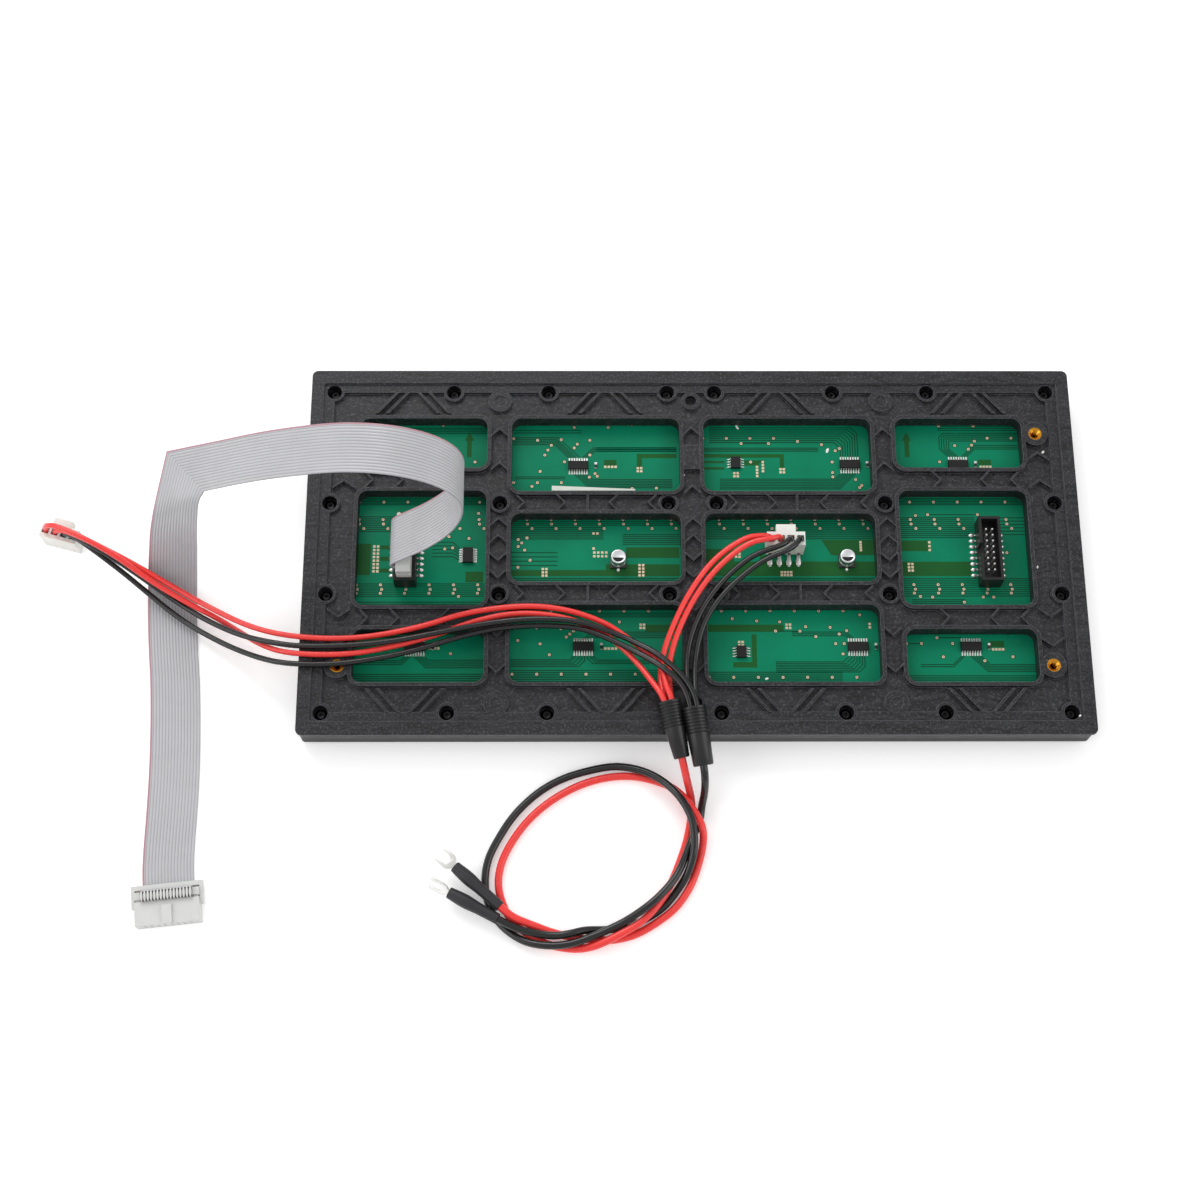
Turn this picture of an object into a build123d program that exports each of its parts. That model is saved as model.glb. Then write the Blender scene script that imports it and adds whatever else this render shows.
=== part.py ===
from build123d import *
from math import cos, radians, sin, tan
import os

os.makedirs("parts", exist_ok=True)

# Driving dimensions, in millimetres.
# The frame's long side lies along X and its back faces +Z. The origin is on the floor under the
# middle of the module, so the light-emitting front stands on Z = 0 by its sun visors.
pixel_pitch = 10.0
pixel_columns = 32
pixel_rows = 16
module_length = pixel_columns * pixel_pitch   # modules tile a wall without a gap
module_width = pixel_rows * pixel_pitch
module_height = 15.4

wall_inset = 0.8          # the side walls stand this far inside the top flange
flange_thickness = 1.2
corner_radius = 2.5
fit_gap = 0.2             # the board lies loose in the mask's skirt by this much each side

# front mask
visor_height = 1.5
visor_thickness = 1.2
mask_plate = 4.7
mask_skirt = 1.2
slot_width = 6.0
slot_end_gap = 1.0        # between the last package of a row and the end of its slot
pixels_per_slot = 8

# board and light-emitting packages
board_thickness = 1.6
led_side = 3.5
led_height = 2.8
slot_length = (pixels_per_slot - 1) * pixel_pitch + led_side + 2 * slot_end_gap

# back frame
rim_end_width = 5.2
rim_side_width = 5.8
ledge_drop = 1.0
ledge_end_width = 4.5
ledge_side_width = 4.0
floor_drop = 2.4
lip_drop = 0.2
lip_width = 1.6
window_radius = 4.0
inner_post = 10.0
side_post = 10.2
outer_window_length = 53.2
end_rail = 21.3           # from the module's end to its outer windows
side_rail = 22.0          # from the module's side to its window rows
inner_row_start = 25.0
inner_middle = 15.0
outer_row_start = 35.5
outer_middle = 25.2
screw_seat_radius = 3.15
screw_seat_floor = 1.8
collar_width = 1.15
rib_width = 0.8
rail_rib_width = 1.2
rib_drop = 0.5
skin = 1.6
insert_radius = 2.85
insert_bore = 1.7
insert_floor = 1.4        # plastic left between an insert's seat and the board
insert_boss = 5.25
insert_end_margin = 15.5
insert_side_margin = 29.0
screw_margin = 9.5
rail_screws = (10.0, 60.0, 100.0)
rail_foot = 5.5           # half the solid foot that carries a screw under a rail

# connectors
pin_pitch = 2.54
pin_size = 0.64
header_width = 8.9
header_length = 28.0
header_height = 9.2
header_wall = 1.15
header_floor = 2.0
lead_span = 13.6
lead_thickness = 0.5
ribbon_width = 20.3
ribbon_thickness = 0.9
power_pitch = 3.96
power_pin = 1.1
plug_length = 15.7
plug_depth = 6.0
plug_height = 10.9

# derived levels
mask_top = visor_height + mask_plate
board_top = mask_top + board_thickness
frame_base = board_top
wall_length = module_length - 2 * wall_inset
wall_width = module_width - 2 * wall_inset
ledge_level = module_height - ledge_drop
floor_level = module_height - floor_drop
lip_level = module_height - lip_drop
rib_level = module_height - rib_drop
rim_inner_length = module_length - 2 * rim_end_width
rim_inner_width = module_width - 2 * rim_side_width
ledge_inner_length = rim_inner_length - 2 * ledge_end_width
ledge_inner_width = rim_inner_width - 2 * ledge_side_width
insert_seat = board_top + insert_floor


def save(build, name):
    """Label a finished piece and write its file."""
    build.part.label = name
    export_step(build.part, f"parts/{name}.step")


# front mask
with BuildPart() as front_mask:
    with BuildSketch(Plane.XY.offset(visor_height)):
        RectangleRounded(wall_length, wall_width, corner_radius - wall_inset)
    extrude(amount=board_top - visor_height)
    chamfer(front_mask.faces().sort_by(Axis.Z)[0].outer_wire().edges(), 0.6)
    with BuildSketch(Plane.XY.offset(mask_top)):
        Rectangle(wall_length - 2 * mask_skirt, wall_width - 2 * mask_skirt)
    extrude(amount=board_thickness, mode=Mode.SUBTRACT)
    with BuildSketch(Plane.XY.offset(visor_height)):
        with GridLocations(
            pixels_per_slot * pixel_pitch, pixel_pitch, pixel_columns // pixels_per_slot, pixel_rows
        ):
            Rectangle(slot_length, slot_width)
    extrude(amount=mask_plate, mode=Mode.SUBTRACT)
    with BuildSketch(Plane.XY):
        with Locations((0, (slot_width + visor_thickness) / 2)):
            with GridLocations(pixel_pitch, pixel_pitch, 1, pixel_rows):
                Rectangle(wall_length - 4 * mask_skirt, visor_thickness)
    extrude(amount=visor_height)
save(front_mask, "front_mask")

# board with its pixels
board_length = wall_length - 2 * mask_skirt - 2 * fit_gap
board_width = wall_width - 2 * mask_skirt - 2 * fit_gap
with BuildPart() as circuit_board:
    with BuildSketch(Plane.XY.offset(mask_top)):
        Rectangle(board_length, board_width)
    extrude(amount=board_thickness)
save(circuit_board, "circuit_board")

with BuildPart() as led_packages:
    with BuildSketch(Plane.XY.offset(mask_top - led_height)):
        with GridLocations(pixel_pitch, pixel_pitch, pixel_columns, pixel_rows):
            Rectangle(led_side, led_side)
    extrude(amount=led_height)
save(led_packages, "led_packages")

# back frame
outer_window_end = module_length / 2 - end_rail
outer_window_start = outer_window_end - outer_window_length
inner_window_end = outer_window_start - side_post
window_row_end = module_width / 2 - side_rail
# Each window: centre x, centre y, length, width. The four quarters mirror one another.
inner_x = (inner_post / 2 + inner_window_end) / 2
inner_length = inner_window_end - inner_post / 2
outer_x = (outer_window_start + outer_window_end) / 2
outer_length = outer_window_end - outer_window_start
windows = []
for side in (-1, 1):
    windows.append((side * inner_x, 0, inner_length, 2 * inner_middle))
    windows.append((side * outer_x, 0, outer_length, 2 * outer_middle))
    for end in (-1, 1):
        middle = end * (inner_row_start + window_row_end) / 2
        windows.append((side * inner_x, middle, inner_length, window_row_end - inner_row_start))
        middle = end * (outer_row_start + window_row_end) / 2
        windows.append((side * outer_x, middle, outer_length, window_row_end - outer_row_start))

post_x = (inner_window_end + outer_window_start) / 2
inner_bar_y = (inner_middle + inner_row_start) / 2
inner_trough = inner_row_start - inner_middle - 2 * lip_width
outer_bar_y = (outer_middle + outer_row_start) / 2
outer_trough = outer_row_start - outer_middle - 2 * lip_width
post_trough = outer_window_start - inner_window_end - 2 * lip_width
screw_row = module_width / 2 - screw_margin
screw_column = module_length / 2 - screw_margin
quarter_screws = [(x, screw_row) for x in rail_screws + (screw_column,)]
quarter_screws += [(x, inner_bar_y) for x in (rail_screws[0], post_x - 0.4, screw_column)]
screws = [(i * x, j * y) for x, y in quarter_screws for i in (-1, 1) for j in (-1, 1)]
insert_x = module_length / 2 - insert_end_margin
insert_y = module_width / 2 - insert_side_margin
inserts = [(i * insert_x, j * insert_y) for i in (-1, 1) for j in (-1, 1)]
blind_y = module_width / 2 - 13.5
rail_rib_start = window_row_end + lip_width + 0.9
rail_rib_end = ledge_inner_width / 2
rail_middle = (window_row_end + wall_width / 2) / 2
rail_hollow = wall_width / 2 - window_row_end - 2 * skin
inner_hollow = post_x - rail_screws[0] - 12.4
inner_hollow_middle = (post_x + rail_screws[0]) / 2 - 0.5
# ribs of the bars: (place along X, heading) in the right-hand half
inner_chevrons = [(inner_window_end - 56.5, 0), (inner_window_end - 40.3, 0)]
inner_chevrons += [(inner_window_end - 22.8, 180), (inner_window_end - 5.9, 180)]
outer_chevrons = [(outer_window_end - 34.7, 0), (outer_window_end - 18.7, 180), (outer_window_end - 6.2, 180)]


def chevron(x, y, heading, reach, width, rise):
    """A bent rib across a trough: its tip at x, y points along heading, its arms reach both walls."""
    back = width * 1.2
    corners = [(0, 0), (-rise, reach), (-rise - back, reach)]
    corners += [(-back, 0), (-rise - back, -reach), (-rise, -reach)]
    with Locations((x, y)):
        Polygon(*corners, rotation=heading, align=None)


with BuildPart() as back_frame:
    with BuildSketch(Plane.XY.offset(frame_base)):
        RectangleRounded(wall_length, wall_width, corner_radius - wall_inset)
    extrude(amount=module_height - frame_base)
    with BuildSketch(Plane.XY.offset(module_height - flange_thickness)):
        RectangleRounded(module_length, module_width, corner_radius)
    extrude(amount=flange_thickness)
    # the rim steps down to the ledge, and the ledge to the floor that carries the lips and ribs
    with BuildSketch(Plane.XY.offset(ledge_level)):
        RectangleRounded(rim_inner_length, rim_inner_width, 1.0)
    extrude(amount=ledge_drop, mode=Mode.SUBTRACT)
    with BuildSketch(Plane.XY.offset(floor_level)):
        Rectangle(ledge_inner_length, ledge_inner_width)
    extrude(amount=ledge_level - floor_level, mode=Mode.SUBTRACT)
    # window lips
    with BuildSketch(Plane.XY.offset(floor_level)):
        for x, y, length, width in windows:
            with Locations((x, y)):
                RectangleRounded(length + 2 * lip_width, width + 2 * lip_width, window_radius + lip_width)
    extrude(amount=lip_level - floor_level)
    # chevron ribs in the troughs
    with BuildSketch(Plane.XY.offset(floor_level)):
        for side in (-1, 1):
            for end in (-1, 1):
                for x, heading in inner_chevrons:
                    turn = heading if side > 0 else 180 - heading
                    chevron(side * x, end * inner_bar_y, turn, inner_trough / 2, rib_width, 3.2)
                with Locations((side * (inner_window_end - 31.8), end * inner_bar_y)):
                    Rectangle(rib_width, inner_trough)
                for x, heading in outer_chevrons:
                    turn = heading if side > 0 else 180 - heading
                    chevron(side * x, end * outer_bar_y, turn, outer_trough / 2, rib_width, 3.2)
                for y, heading in ((54, 90), (38.5, 90), (13.5, 90), (6, 90)):
                    chevron(side * post_x, end * y, heading * end, post_trough / 2, rib_width, 3.2)
                for y, heading in ((43, 90), (30.5, 90)):
                    chevron(side * (screw_column - 5.6), end * y, heading * end, 4.6, rib_width, 3.2)
        for end in (-1, 1):
            for y in (54.5, 28, 13.5, 6):
                chevron(0, end * y, 90 * end, (inner_post - 2 * lip_width) / 2, rib_width, 3.2)
            for side in (-1, 1):
                for centre in (36, 117):
                    for lean in (-1, 1):
                        for start, stop in ((16, 7.5), (11.5, 3)):
                            with Locations((side * centre, 0)):
                                Polygon(
                                    (lean * start, end * rail_rib_start),
                                    (lean * (start - rail_rib_width * 1.2), end * rail_rib_start),
                                    (lean * (stop - rail_rib_width * 1.2), end * rail_rib_end),
                                    (lean * stop, end * rail_rib_end),
                                    align=None,
                                )
    extrude(amount=rib_level - floor_level)
    # bare square block on the middle post and the bosses between the rails
    with BuildSketch(Plane.XY.offset(floor_level)):
        with Locations((0, 40.5)):
            Rectangle(inner_post - 2 * lip_width, 11)
    extrude(amount=rib_level - floor_level)
    with BuildSketch(Plane.XY.offset(floor_level)):
        with Locations(*screws):
            Circle(screw_seat_radius + collar_width)
        with Locations((0, blind_y), (0, -blind_y)):
            Circle(4.0)
        with Locations((post_x, blind_y), (post_x, -blind_y), (-post_x, blind_y), (-post_x, -blind_y)):
            Circle(5.0)
    extrude(amount=ledge_level - floor_level)
    with BuildSketch(Plane.XY.offset(floor_level)):
        with Locations(*inserts):
            Circle(insert_boss)
    extrude(amount=lip_level - floor_level)
    # windows, cut through everything laid over them
    with BuildSketch(Plane.XY.offset(frame_base)):
        for x, y, length, width in windows:
            with Locations((x, y)):
                RectangleRounded(length, width, window_radius)
    extrude(amount=module_height - frame_base, mode=Mode.SUBTRACT)
    # counterbored screw seats, blind holes, seats of the threaded inserts
    with BuildSketch(Plane.XY.offset(frame_base + screw_seat_floor)):
        with Locations(*screws):
            Circle(screw_seat_radius)
    extrude(amount=module_height, mode=Mode.SUBTRACT)
    with BuildSketch(Plane.XY.offset(ledge_level - 3)):
        with Locations((0, blind_y), (0, -blind_y)):
            Circle(2.4)
    extrude(amount=3, mode=Mode.SUBTRACT)
    with BuildSketch(Plane.XY.offset(ledge_level - 0.6)):
        with Locations((post_x, blind_y), (post_x, -blind_y), (-post_x, blind_y), (-post_x, -blind_y)):
            Circle(2.5)
    extrude(amount=0.6, mode=Mode.SUBTRACT)
    with BuildSketch(Plane.XY.offset(insert_seat)):
        with Locations(*inserts):
            Circle(insert_radius)
    extrude(amount=lip_level - insert_seat, mode=Mode.SUBTRACT)
    # the rails and bars are hollow underneath, between solid feet round the screws
    with BuildSketch(Plane.XY.offset(frame_base)):
        for side in (-1, 1):
            for end in (-1, 1):
                for start, stop in zip(rail_screws, rail_screws[1:] + (screw_column,)):
                    with Locations((side * (start + stop) / 2, end * rail_middle)):
                        Rectangle(stop - start - 2 * rail_foot, rail_hollow)
                with Locations((side * inner_hollow_middle, end * inner_bar_y)):
                    Rectangle(inner_hollow, inner_row_start - inner_middle - 2 * skin)
                with Locations((side * (outer_x - 1.1), end * outer_bar_y)):
                    Rectangle(outer_window_length - 3.2, outer_row_start - outer_middle - 2 * skin)
    extrude(amount=floor_level - skin - frame_base, mode=Mode.SUBTRACT)
save(back_frame, "back_frame")

with BuildPart() as threaded_inserts:
    with BuildSketch(Plane.XY.offset(insert_seat)):
        with Locations(*inserts):
            Circle(insert_radius)
            Circle(insert_bore, mode=Mode.SUBTRACT)
    extrude(amount=lip_level - insert_seat)
save(threaded_inserts, "threaded_inserts")

# board connectors
header_base = board_top + lead_thickness
header_y = -1.0
input_x = -(outer_x + 6.4)
output_x = outer_x + 10.1
cavity_width = header_width - 2 * header_wall
cavity_length = header_length - 2 * header_wall
cavity_floor = header_base + header_floor
header_top = board_top + header_height
pin_top = header_top - 1.5
key_width = 4.5


def box_header(x):
    """Shrouded two-row header: open box with a polarising gap in its left wall."""
    with BuildPart() as housing:
        with BuildSketch(Plane.XY.offset(header_base)):
            with Locations((x, header_y)):
                Rectangle(header_width, header_length)
        extrude(amount=header_top - header_base)
        with BuildSketch(Plane.XY.offset(cavity_floor)):
            with Locations((x, header_y)):
                Rectangle(cavity_width, cavity_length)
            with Locations((x - header_width / 2, header_y)):
                Rectangle(2 * header_wall, key_width)
        extrude(amount=header_top - cavity_floor, mode=Mode.SUBTRACT)
        with BuildSketch(Plane.XY.offset(header_base)):
            with Locations((x, header_y)):
                with GridLocations(pin_pitch, pin_pitch, 2, 8):
                    Rectangle(pin_size, pin_size)
        extrude(amount=header_floor, mode=Mode.SUBTRACT)
    return housing


def header_pins(x):
    """Two rows of square pins, each with its foot bent out to the solder land."""
    with BuildPart() as pins:
        with BuildSketch(Plane.XY.offset(board_top)):
            for side in (-1, 1):
                inner = pin_pitch / 2 - pin_size / 2
                with Locations((x + side * (inner + lead_span / 2) / 2, header_y)):
                    with GridLocations(pin_pitch, pin_pitch, 1, 8):
                        Rectangle(lead_span / 2 - inner, pin_size)
        extrude(amount=lead_thickness)
        with BuildSketch(Plane.XY.offset(board_top)):
            with Locations((x, header_y)):
                with GridLocations(pin_pitch, pin_pitch, 2, 8):
                    Rectangle(pin_size, pin_size)
        extrude(amount=pin_top - board_top)
    return pins


input_header = box_header(input_x)
save(input_header, "input_header")
input_header_pins = header_pins(input_x)
save(input_header_pins, "input_header_pins")
output_header = box_header(output_x)
save(output_header, "output_header")
output_header_pins = header_pins(output_x)
save(output_header_pins, "output_header_pins")

# ribbon connectors: body, cap and strain relief in one local form. Local X is across the two
# rows, local Y along them, local Z away from the mating face. The cable lies in the gap between
# body and cap, and turns back over the cap under the strain relief.
socket_width = 6.0
socket_length = 25.4
socket_body = 9.4
cap_height = 3.0
relief_height = 1.9
relief_arm = 1.3
contact_hole = 0.9
key_size = 1.0


def socket_body_form(at, key_side):
    """Female body with sixteen contact openings and a polarising key on one side."""
    with BuildPart() as body:
        with BuildSketch(at):
            Rectangle(socket_width, socket_length)
        extrude(amount=socket_body)
        with BuildSketch(at):
            with Locations((key_side * (socket_width + key_size) / 2, 0)):
                Rectangle(key_size, key_width - 0.6)
        extrude(amount=socket_body - 2)
        with BuildSketch(at):
            with GridLocations(pin_pitch, pin_pitch, 2, 8):
                Rectangle(contact_hole, contact_hole)
        extrude(amount=pin_top - cavity_floor + 0.4, mode=Mode.SUBTRACT)
    return body


def socket_cap_form(at):
    """Cap that presses the cable on to the contacts, with a latch lug at each end."""
    with BuildPart() as cap:
        with BuildSketch(at.offset(socket_body + ribbon_thickness)):
            Rectangle(socket_width, socket_length)
        extrude(amount=cap_height)
        with BuildSketch(at.offset(socket_body)):
            lug_y = ribbon_width / 2 + cap_lug / 2 + 0.2
            with Locations((0, lug_y), (0, -lug_y)):
                Rectangle(socket_width - 1.6, cap_lug)
        extrude(amount=ribbon_thickness)
    return cap


def socket_relief_form(at):
    """Bow over the folded cable, with arms down both ends of the cap."""
    with BuildPart() as relief:
        with BuildSketch(at.offset(relief_base)):
            arm_y = socket_length / 2 + relief_arm / 2
            with Locations((0, arm_y), (0, -arm_y)):
                Rectangle(socket_width - 2.8, relief_arm)
        extrude(amount=relief_top - relief_base)
        with BuildSketch(at.offset(relief_top - relief_height)):
            Rectangle(socket_width - 2.8, socket_length + 2 * relief_arm)
        extrude(amount=relief_height)
    return relief


cap_lug = (socket_length - ribbon_width) / 2 - 0.6
cap_top = socket_body + ribbon_thickness + cap_height
relief_base = socket_body - 2.2
relief_top = cap_top + ribbon_thickness + relief_height + 0.05

seated = Plane((input_x, header_y, cavity_floor), x_dir=(1, 0, 0), z_dir=(0, 0, 1))
ribbon_plug_body = socket_body_form(seated, -1)
save(ribbon_plug_body, "ribbon_plug_body")
ribbon_plug_cap = socket_cap_form(seated)
save(ribbon_plug_cap, "ribbon_plug_cap")

# the loose socket lies on its side on the floor, its mating face toward the viewer and its key up
loose_turn = radians(6.0)
loose_mate_x = -207.3
loose_mate_y = -153.2
loose_axis = (sin(loose_turn) * -1, cos(loose_turn), 0)
loose = Plane(
    (loose_mate_x, loose_mate_y, socket_width / 2),
    x_dir=(0, 0, 1),
    z_dir=loose_axis,
)
ribbon_socket_body = socket_body_form(loose, 1)
save(ribbon_socket_body, "ribbon_socket_body")
ribbon_socket_cap = socket_cap_form(loose)
save(ribbon_socket_cap, "ribbon_socket_cap")
ribbon_socket_relief = socket_relief_form(loose)
save(ribbon_socket_relief, "ribbon_socket_relief")

# power connector
power_x = 37.8
power_y = 2.1
power_base_gap = 0.4
skirt_wall = 1.0
skirt_height = 2.1
contact_width = 2.5
contact_end = 2.6
cavity_mouth = 2.9
power_pins = [(i - 1.5) * power_pitch for i in range(4)]
base_top = board_top + 0.6 + skirt_height
plug_seat = base_top - skirt_height + power_base_gap
lock_width = 8.0
lock_depth = 3.2

with BuildPart() as power_header:
    # low plate inside the plug's skirt, with the locking wall behind it
    with BuildSketch(Plane.XY.offset(board_top + 0.6)):
        with Locations((power_x, power_y + skirt_wall / 2 + 0.6)):
            Rectangle(plug_length - 2 * skirt_wall - 0.4, plug_depth - skirt_wall + 0.8)
    extrude(amount=base_top - board_top - 0.6 - power_base_gap)
    with BuildSketch(Plane.XY.offset(board_top + 0.6)):
        with Locations((power_x, power_y + plug_depth / 2 + 1.0)):
            Rectangle(lock_width - 1.2, 1.2)
    extrude(amount=7.4)
    with BuildSketch(Plane.XY.offset(board_top + 0.6)):
        with Locations(*[(power_x + x, power_y) for x in power_pins]):
            Rectangle(power_pin, power_pin)
    extrude(amount=skirt_height, mode=Mode.SUBTRACT)
save(power_header, "power_header")

with BuildPart() as power_header_pins:
    with BuildSketch(Plane.XY.offset(board_top)):
        with Locations(*[(power_x + x, power_y - 3.55) for x in power_pins]):
            Rectangle(power_pin, 7.1 + power_pin)
    extrude(amount=0.6)
    with BuildSketch(Plane.XY.offset(board_top)):
        with Locations(*[(power_x + x, power_y) for x in power_pins]):
            Rectangle(power_pin, power_pin)
    extrude(amount=8.2)
save(power_header_pins, "power_header_pins")


def power_plug_form(at):
    """Four-way crimp housing: skirt below, four contact chambers, sloped lock arm behind."""
    with BuildPart() as housing:
        with BuildSketch(at):
            Rectangle(plug_length, plug_depth)
        extrude(amount=plug_height)
        with BuildSketch(at):
            with Locations((0, skirt_wall)):
                Rectangle(plug_length - 2 * skirt_wall, plug_depth)
        extrude(amount=skirt_height, mode=Mode.SUBTRACT)
        with BuildSketch(at.offset(plug_height - 4.4)):
            with Locations((0, plug_depth / 2 + lock_depth / 2)):
                Rectangle(lock_width, lock_depth)
        extrude(amount=4.4)
        with BuildSketch(at):
            with Locations((0, plug_depth / 2 + lock_depth / 2 - 0.8)):
                Rectangle(lock_width + 1, lock_depth - 1.4)
        extrude(amount=plug_height - 1.8, mode=Mode.SUBTRACT)
        with BuildSketch(at):
            with Locations(*[(x, -plug_depth / 2) for x in power_pins]):
                Rectangle(1.2, 2 * skirt_wall)
        extrude(amount=1.0, mode=Mode.SUBTRACT)
        with BuildSketch(at):
            with Locations(*[(x, 0) for x in power_pins]):
                Rectangle(cavity_mouth, cavity_mouth)
        extrude(amount=plug_height, mode=Mode.SUBTRACT)
    return housing


def power_contacts_form(at):
    """Four box contacts, closed by the crimped wire at the top."""
    with BuildPart() as contacts:
        with BuildSketch(at.offset(skirt_height)):
            with Locations(*[(x, 0) for x in power_pins]):
                Rectangle(cavity_mouth, cavity_mouth)
        extrude(amount=plug_height - contact_end - skirt_height)
        with BuildSketch(at.offset(skirt_height)):
            with Locations(*[(x, 0) for x in power_pins]):
                Rectangle(power_pin + 0.2, power_pin + 0.2)
        extrude(amount=plug_height - contact_end - 1.0 - skirt_height, mode=Mode.SUBTRACT)
    return contacts


plug_at = Plane((power_x, power_y, plug_seat), x_dir=(1, 0, 0), z_dir=(0, 0, 1))
power_plug_housing = power_plug_form(plug_at)
save(power_plug_housing, "power_plug_housing")
power_plug_contacts = power_contacts_form(plug_at)
save(power_plug_contacts, "power_plug_contacts")

free_turn = radians(-15.0)
free_at = Plane((-262.2, 8.0, 0), x_dir=(cos(free_turn), sin(free_turn), 0), z_dir=(0, 0, 1))
free_plug_housing = power_plug_form(free_at)
save(free_plug_housing, "free_plug_housing")
free_plug_contacts = power_contacts_form(free_at)
save(free_plug_contacts, "free_plug_contacts")

# components on the board
# The drivers stand in the corner windows, each row at its own small offset.
chip_length = 8.4
chip_width = 3.9
chip_height = 1.6
chip_chamfer = 0.25
row_chip_width = 4.0
row_chip_length = 4.9
buffer_chip_width = 4.2
buffer_chip_length = 6.4
resistor_width = 0.9
resistor_length = 1.7
resistor_height = 0.6
chip_places = [
    (-outer_x - 0.9, 39.8), (27.8 - inner_window_end, 39.3),
    (inner_window_end - 8.4, 39.8), (outer_x + 0.5, 39.8),
    (-outer_x - 1.9, -41), (29.9 - inner_window_end, -40.8),
    (inner_window_end - 8.6, -40.9), (outer_x + 0.8, -40.9),
]
with BuildPart() as driver_chips:
    with BuildSketch(Plane.XY.offset(board_top)):
        with Locations(*chip_places):
            Rectangle(chip_length, chip_width)
    extrude(amount=chip_height)
    tops = driver_chips.faces().filter_by(Axis.Z).sort_by(Axis.Z)[-len(chip_places):]
    chamfer(tops.edges(), chip_chamfer)
save(driver_chips, "driver_chips")

with BuildPart() as row_chips:
    with BuildSketch(Plane.XY.offset(board_top)):
        with Locations((18.8, 40.6), (19.1, -43.1)):
            Rectangle(row_chip_width, row_chip_length)
        with Locations((-outer_window_start - 7.6, header_y)):
            Rectangle(buffer_chip_width, buffer_chip_length)
    extrude(amount=chip_height)
save(row_chips, "row_chips")

chip_part_gap = 7.4
with BuildPart() as chip_resistors:
    with BuildSketch(Plane.XY.offset(board_top)):
        with Locations(*[(x + chip_part_gap, y) for x, y in chip_places]):
            Rectangle(resistor_width, resistor_length)
    extrude(amount=resistor_height)
save(chip_resistors, "chip_resistors")

can_radius = 3.15
can_top = 13.6
can_base = 1.0
base_side = 6.6
base_chamfer = 1.2
cans = [(-30.9, -3.4), (inner_window_end - 11.7, -3.2)]
with BuildPart() as capacitor_bases:
    with BuildSketch(Plane.XY.offset(board_top)):
        with Locations(*cans):
            Rectangle(base_side, base_side)
    extrude(amount=can_base)
    chamfer(capacitor_bases.edges().filter_by(Axis.Z).group_by(Axis.Y)[-1], base_chamfer)
save(capacitor_bases, "capacitor_bases")

with BuildPart() as capacitor_cans:
    can_height = can_top - board_top - can_base
    for x, y in cans:
        foot = (x, y, board_top + can_base)
        with BuildSketch(Plane(origin=foot, x_dir=(1, 0, 0), z_dir=(0, -1, 0))):
            Polygon(
                (0, 0),
                (can_radius, 0),
                (can_radius, 0.9),
                (can_radius - 0.35, 1.2),
                (can_radius, 1.5),
                (can_radius, can_height - 0.35),
                (can_radius - 0.35, can_height),
                (0, can_height),
                align=None,
            )
        revolve(axis=Axis(foot, (0, 0, 1)))
save(capacitor_cans, "capacitor_cans")

# cords and the pieces on them
wire_diameter = 2.3
lead_diameter = 3.1
bend_share = 0.45
boot_mouth_radius = 4.6
boot_end_radius = 3.6
boot_recess_radius = 3.4
boot_recess = 8.0
boot_rib = 0.4
wire_offset = 1.35
sleeve_radius = 2.3
sleeve_bulge = 2.75
barrel_radius = 1.9
barrel_length = 9.0
fork_thickness = 0.8
fork_radius = 3.4
fork_slot = 3.6
fork_reach = 8.6


def placed(start, end):
    """Plane at start whose Z axis points to end, with X level."""
    axis = Vector(*end) - Vector(*start)
    return Plane(origin=start, x_dir=Vector(0, 0, 1).cross(axis), z_dir=axis)


def at(plane, x, y, z):
    """World point of local coordinates on a plane."""
    return tuple(plane.from_local_coords(Vector(x, y, z)))


red_boot_mouth = (-11.6, -68.1, 23.0)
red_boot_end = (-6.4, -90.2, 18.0)
black_boot_mouth = (-1.7, -70.5, 23.0)
black_boot_end = (2.1, -93.3, 18.0)
red_boot_at = placed(red_boot_mouth, red_boot_end)
black_boot_at = placed(black_boot_mouth, black_boot_end)


def splice_boot_form(mouth, end):
    """Tapered sleeve over a splice: three grip ribs round an open mouth, solid past the recess."""
    length = (Vector(*end) - Vector(*mouth)).length
    taper = (boot_mouth_radius - boot_end_radius) / length
    outline = [(boot_recess_radius, boot_recess), (boot_recess_radius, 0), (boot_mouth_radius, 0)]
    for start in (1.6, 4.0, 6.4):
        radius = boot_mouth_radius - taper * start
        outline += [(radius, start), (radius - boot_rib, start)]
        outline += [(radius - boot_rib, start + 0.8), (radius, start + 0.8)]
    outline += [(boot_end_radius, length), (0, length), (0, boot_recess)]
    with BuildPart() as boot:
        with BuildSketch(Plane.XZ):
            Polygon(*outline, align=None)
        revolve(axis=Axis.Z)
    return boot


def sleeve_form(length):
    """Shrunk sleeve, swollen over the crimped barrel, with the barrel's bore in front."""
    outline = [(barrel_radius, 0), (sleeve_radius, 0)]
    outline += [(sleeve_bulge, barrel_length * 0.6), (sleeve_bulge, barrel_length)]
    outline += [(sleeve_radius, barrel_length * 1.5), (sleeve_radius - 0.15, length)]
    outline += [(0, length), (0, barrel_length), (barrel_radius, barrel_length)]
    with BuildPart() as sleeve:
        with BuildSketch(Plane.XZ):
            Polygon(*outline, align=None)
        revolve(axis=Axis.Z)
    return sleeve


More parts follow.
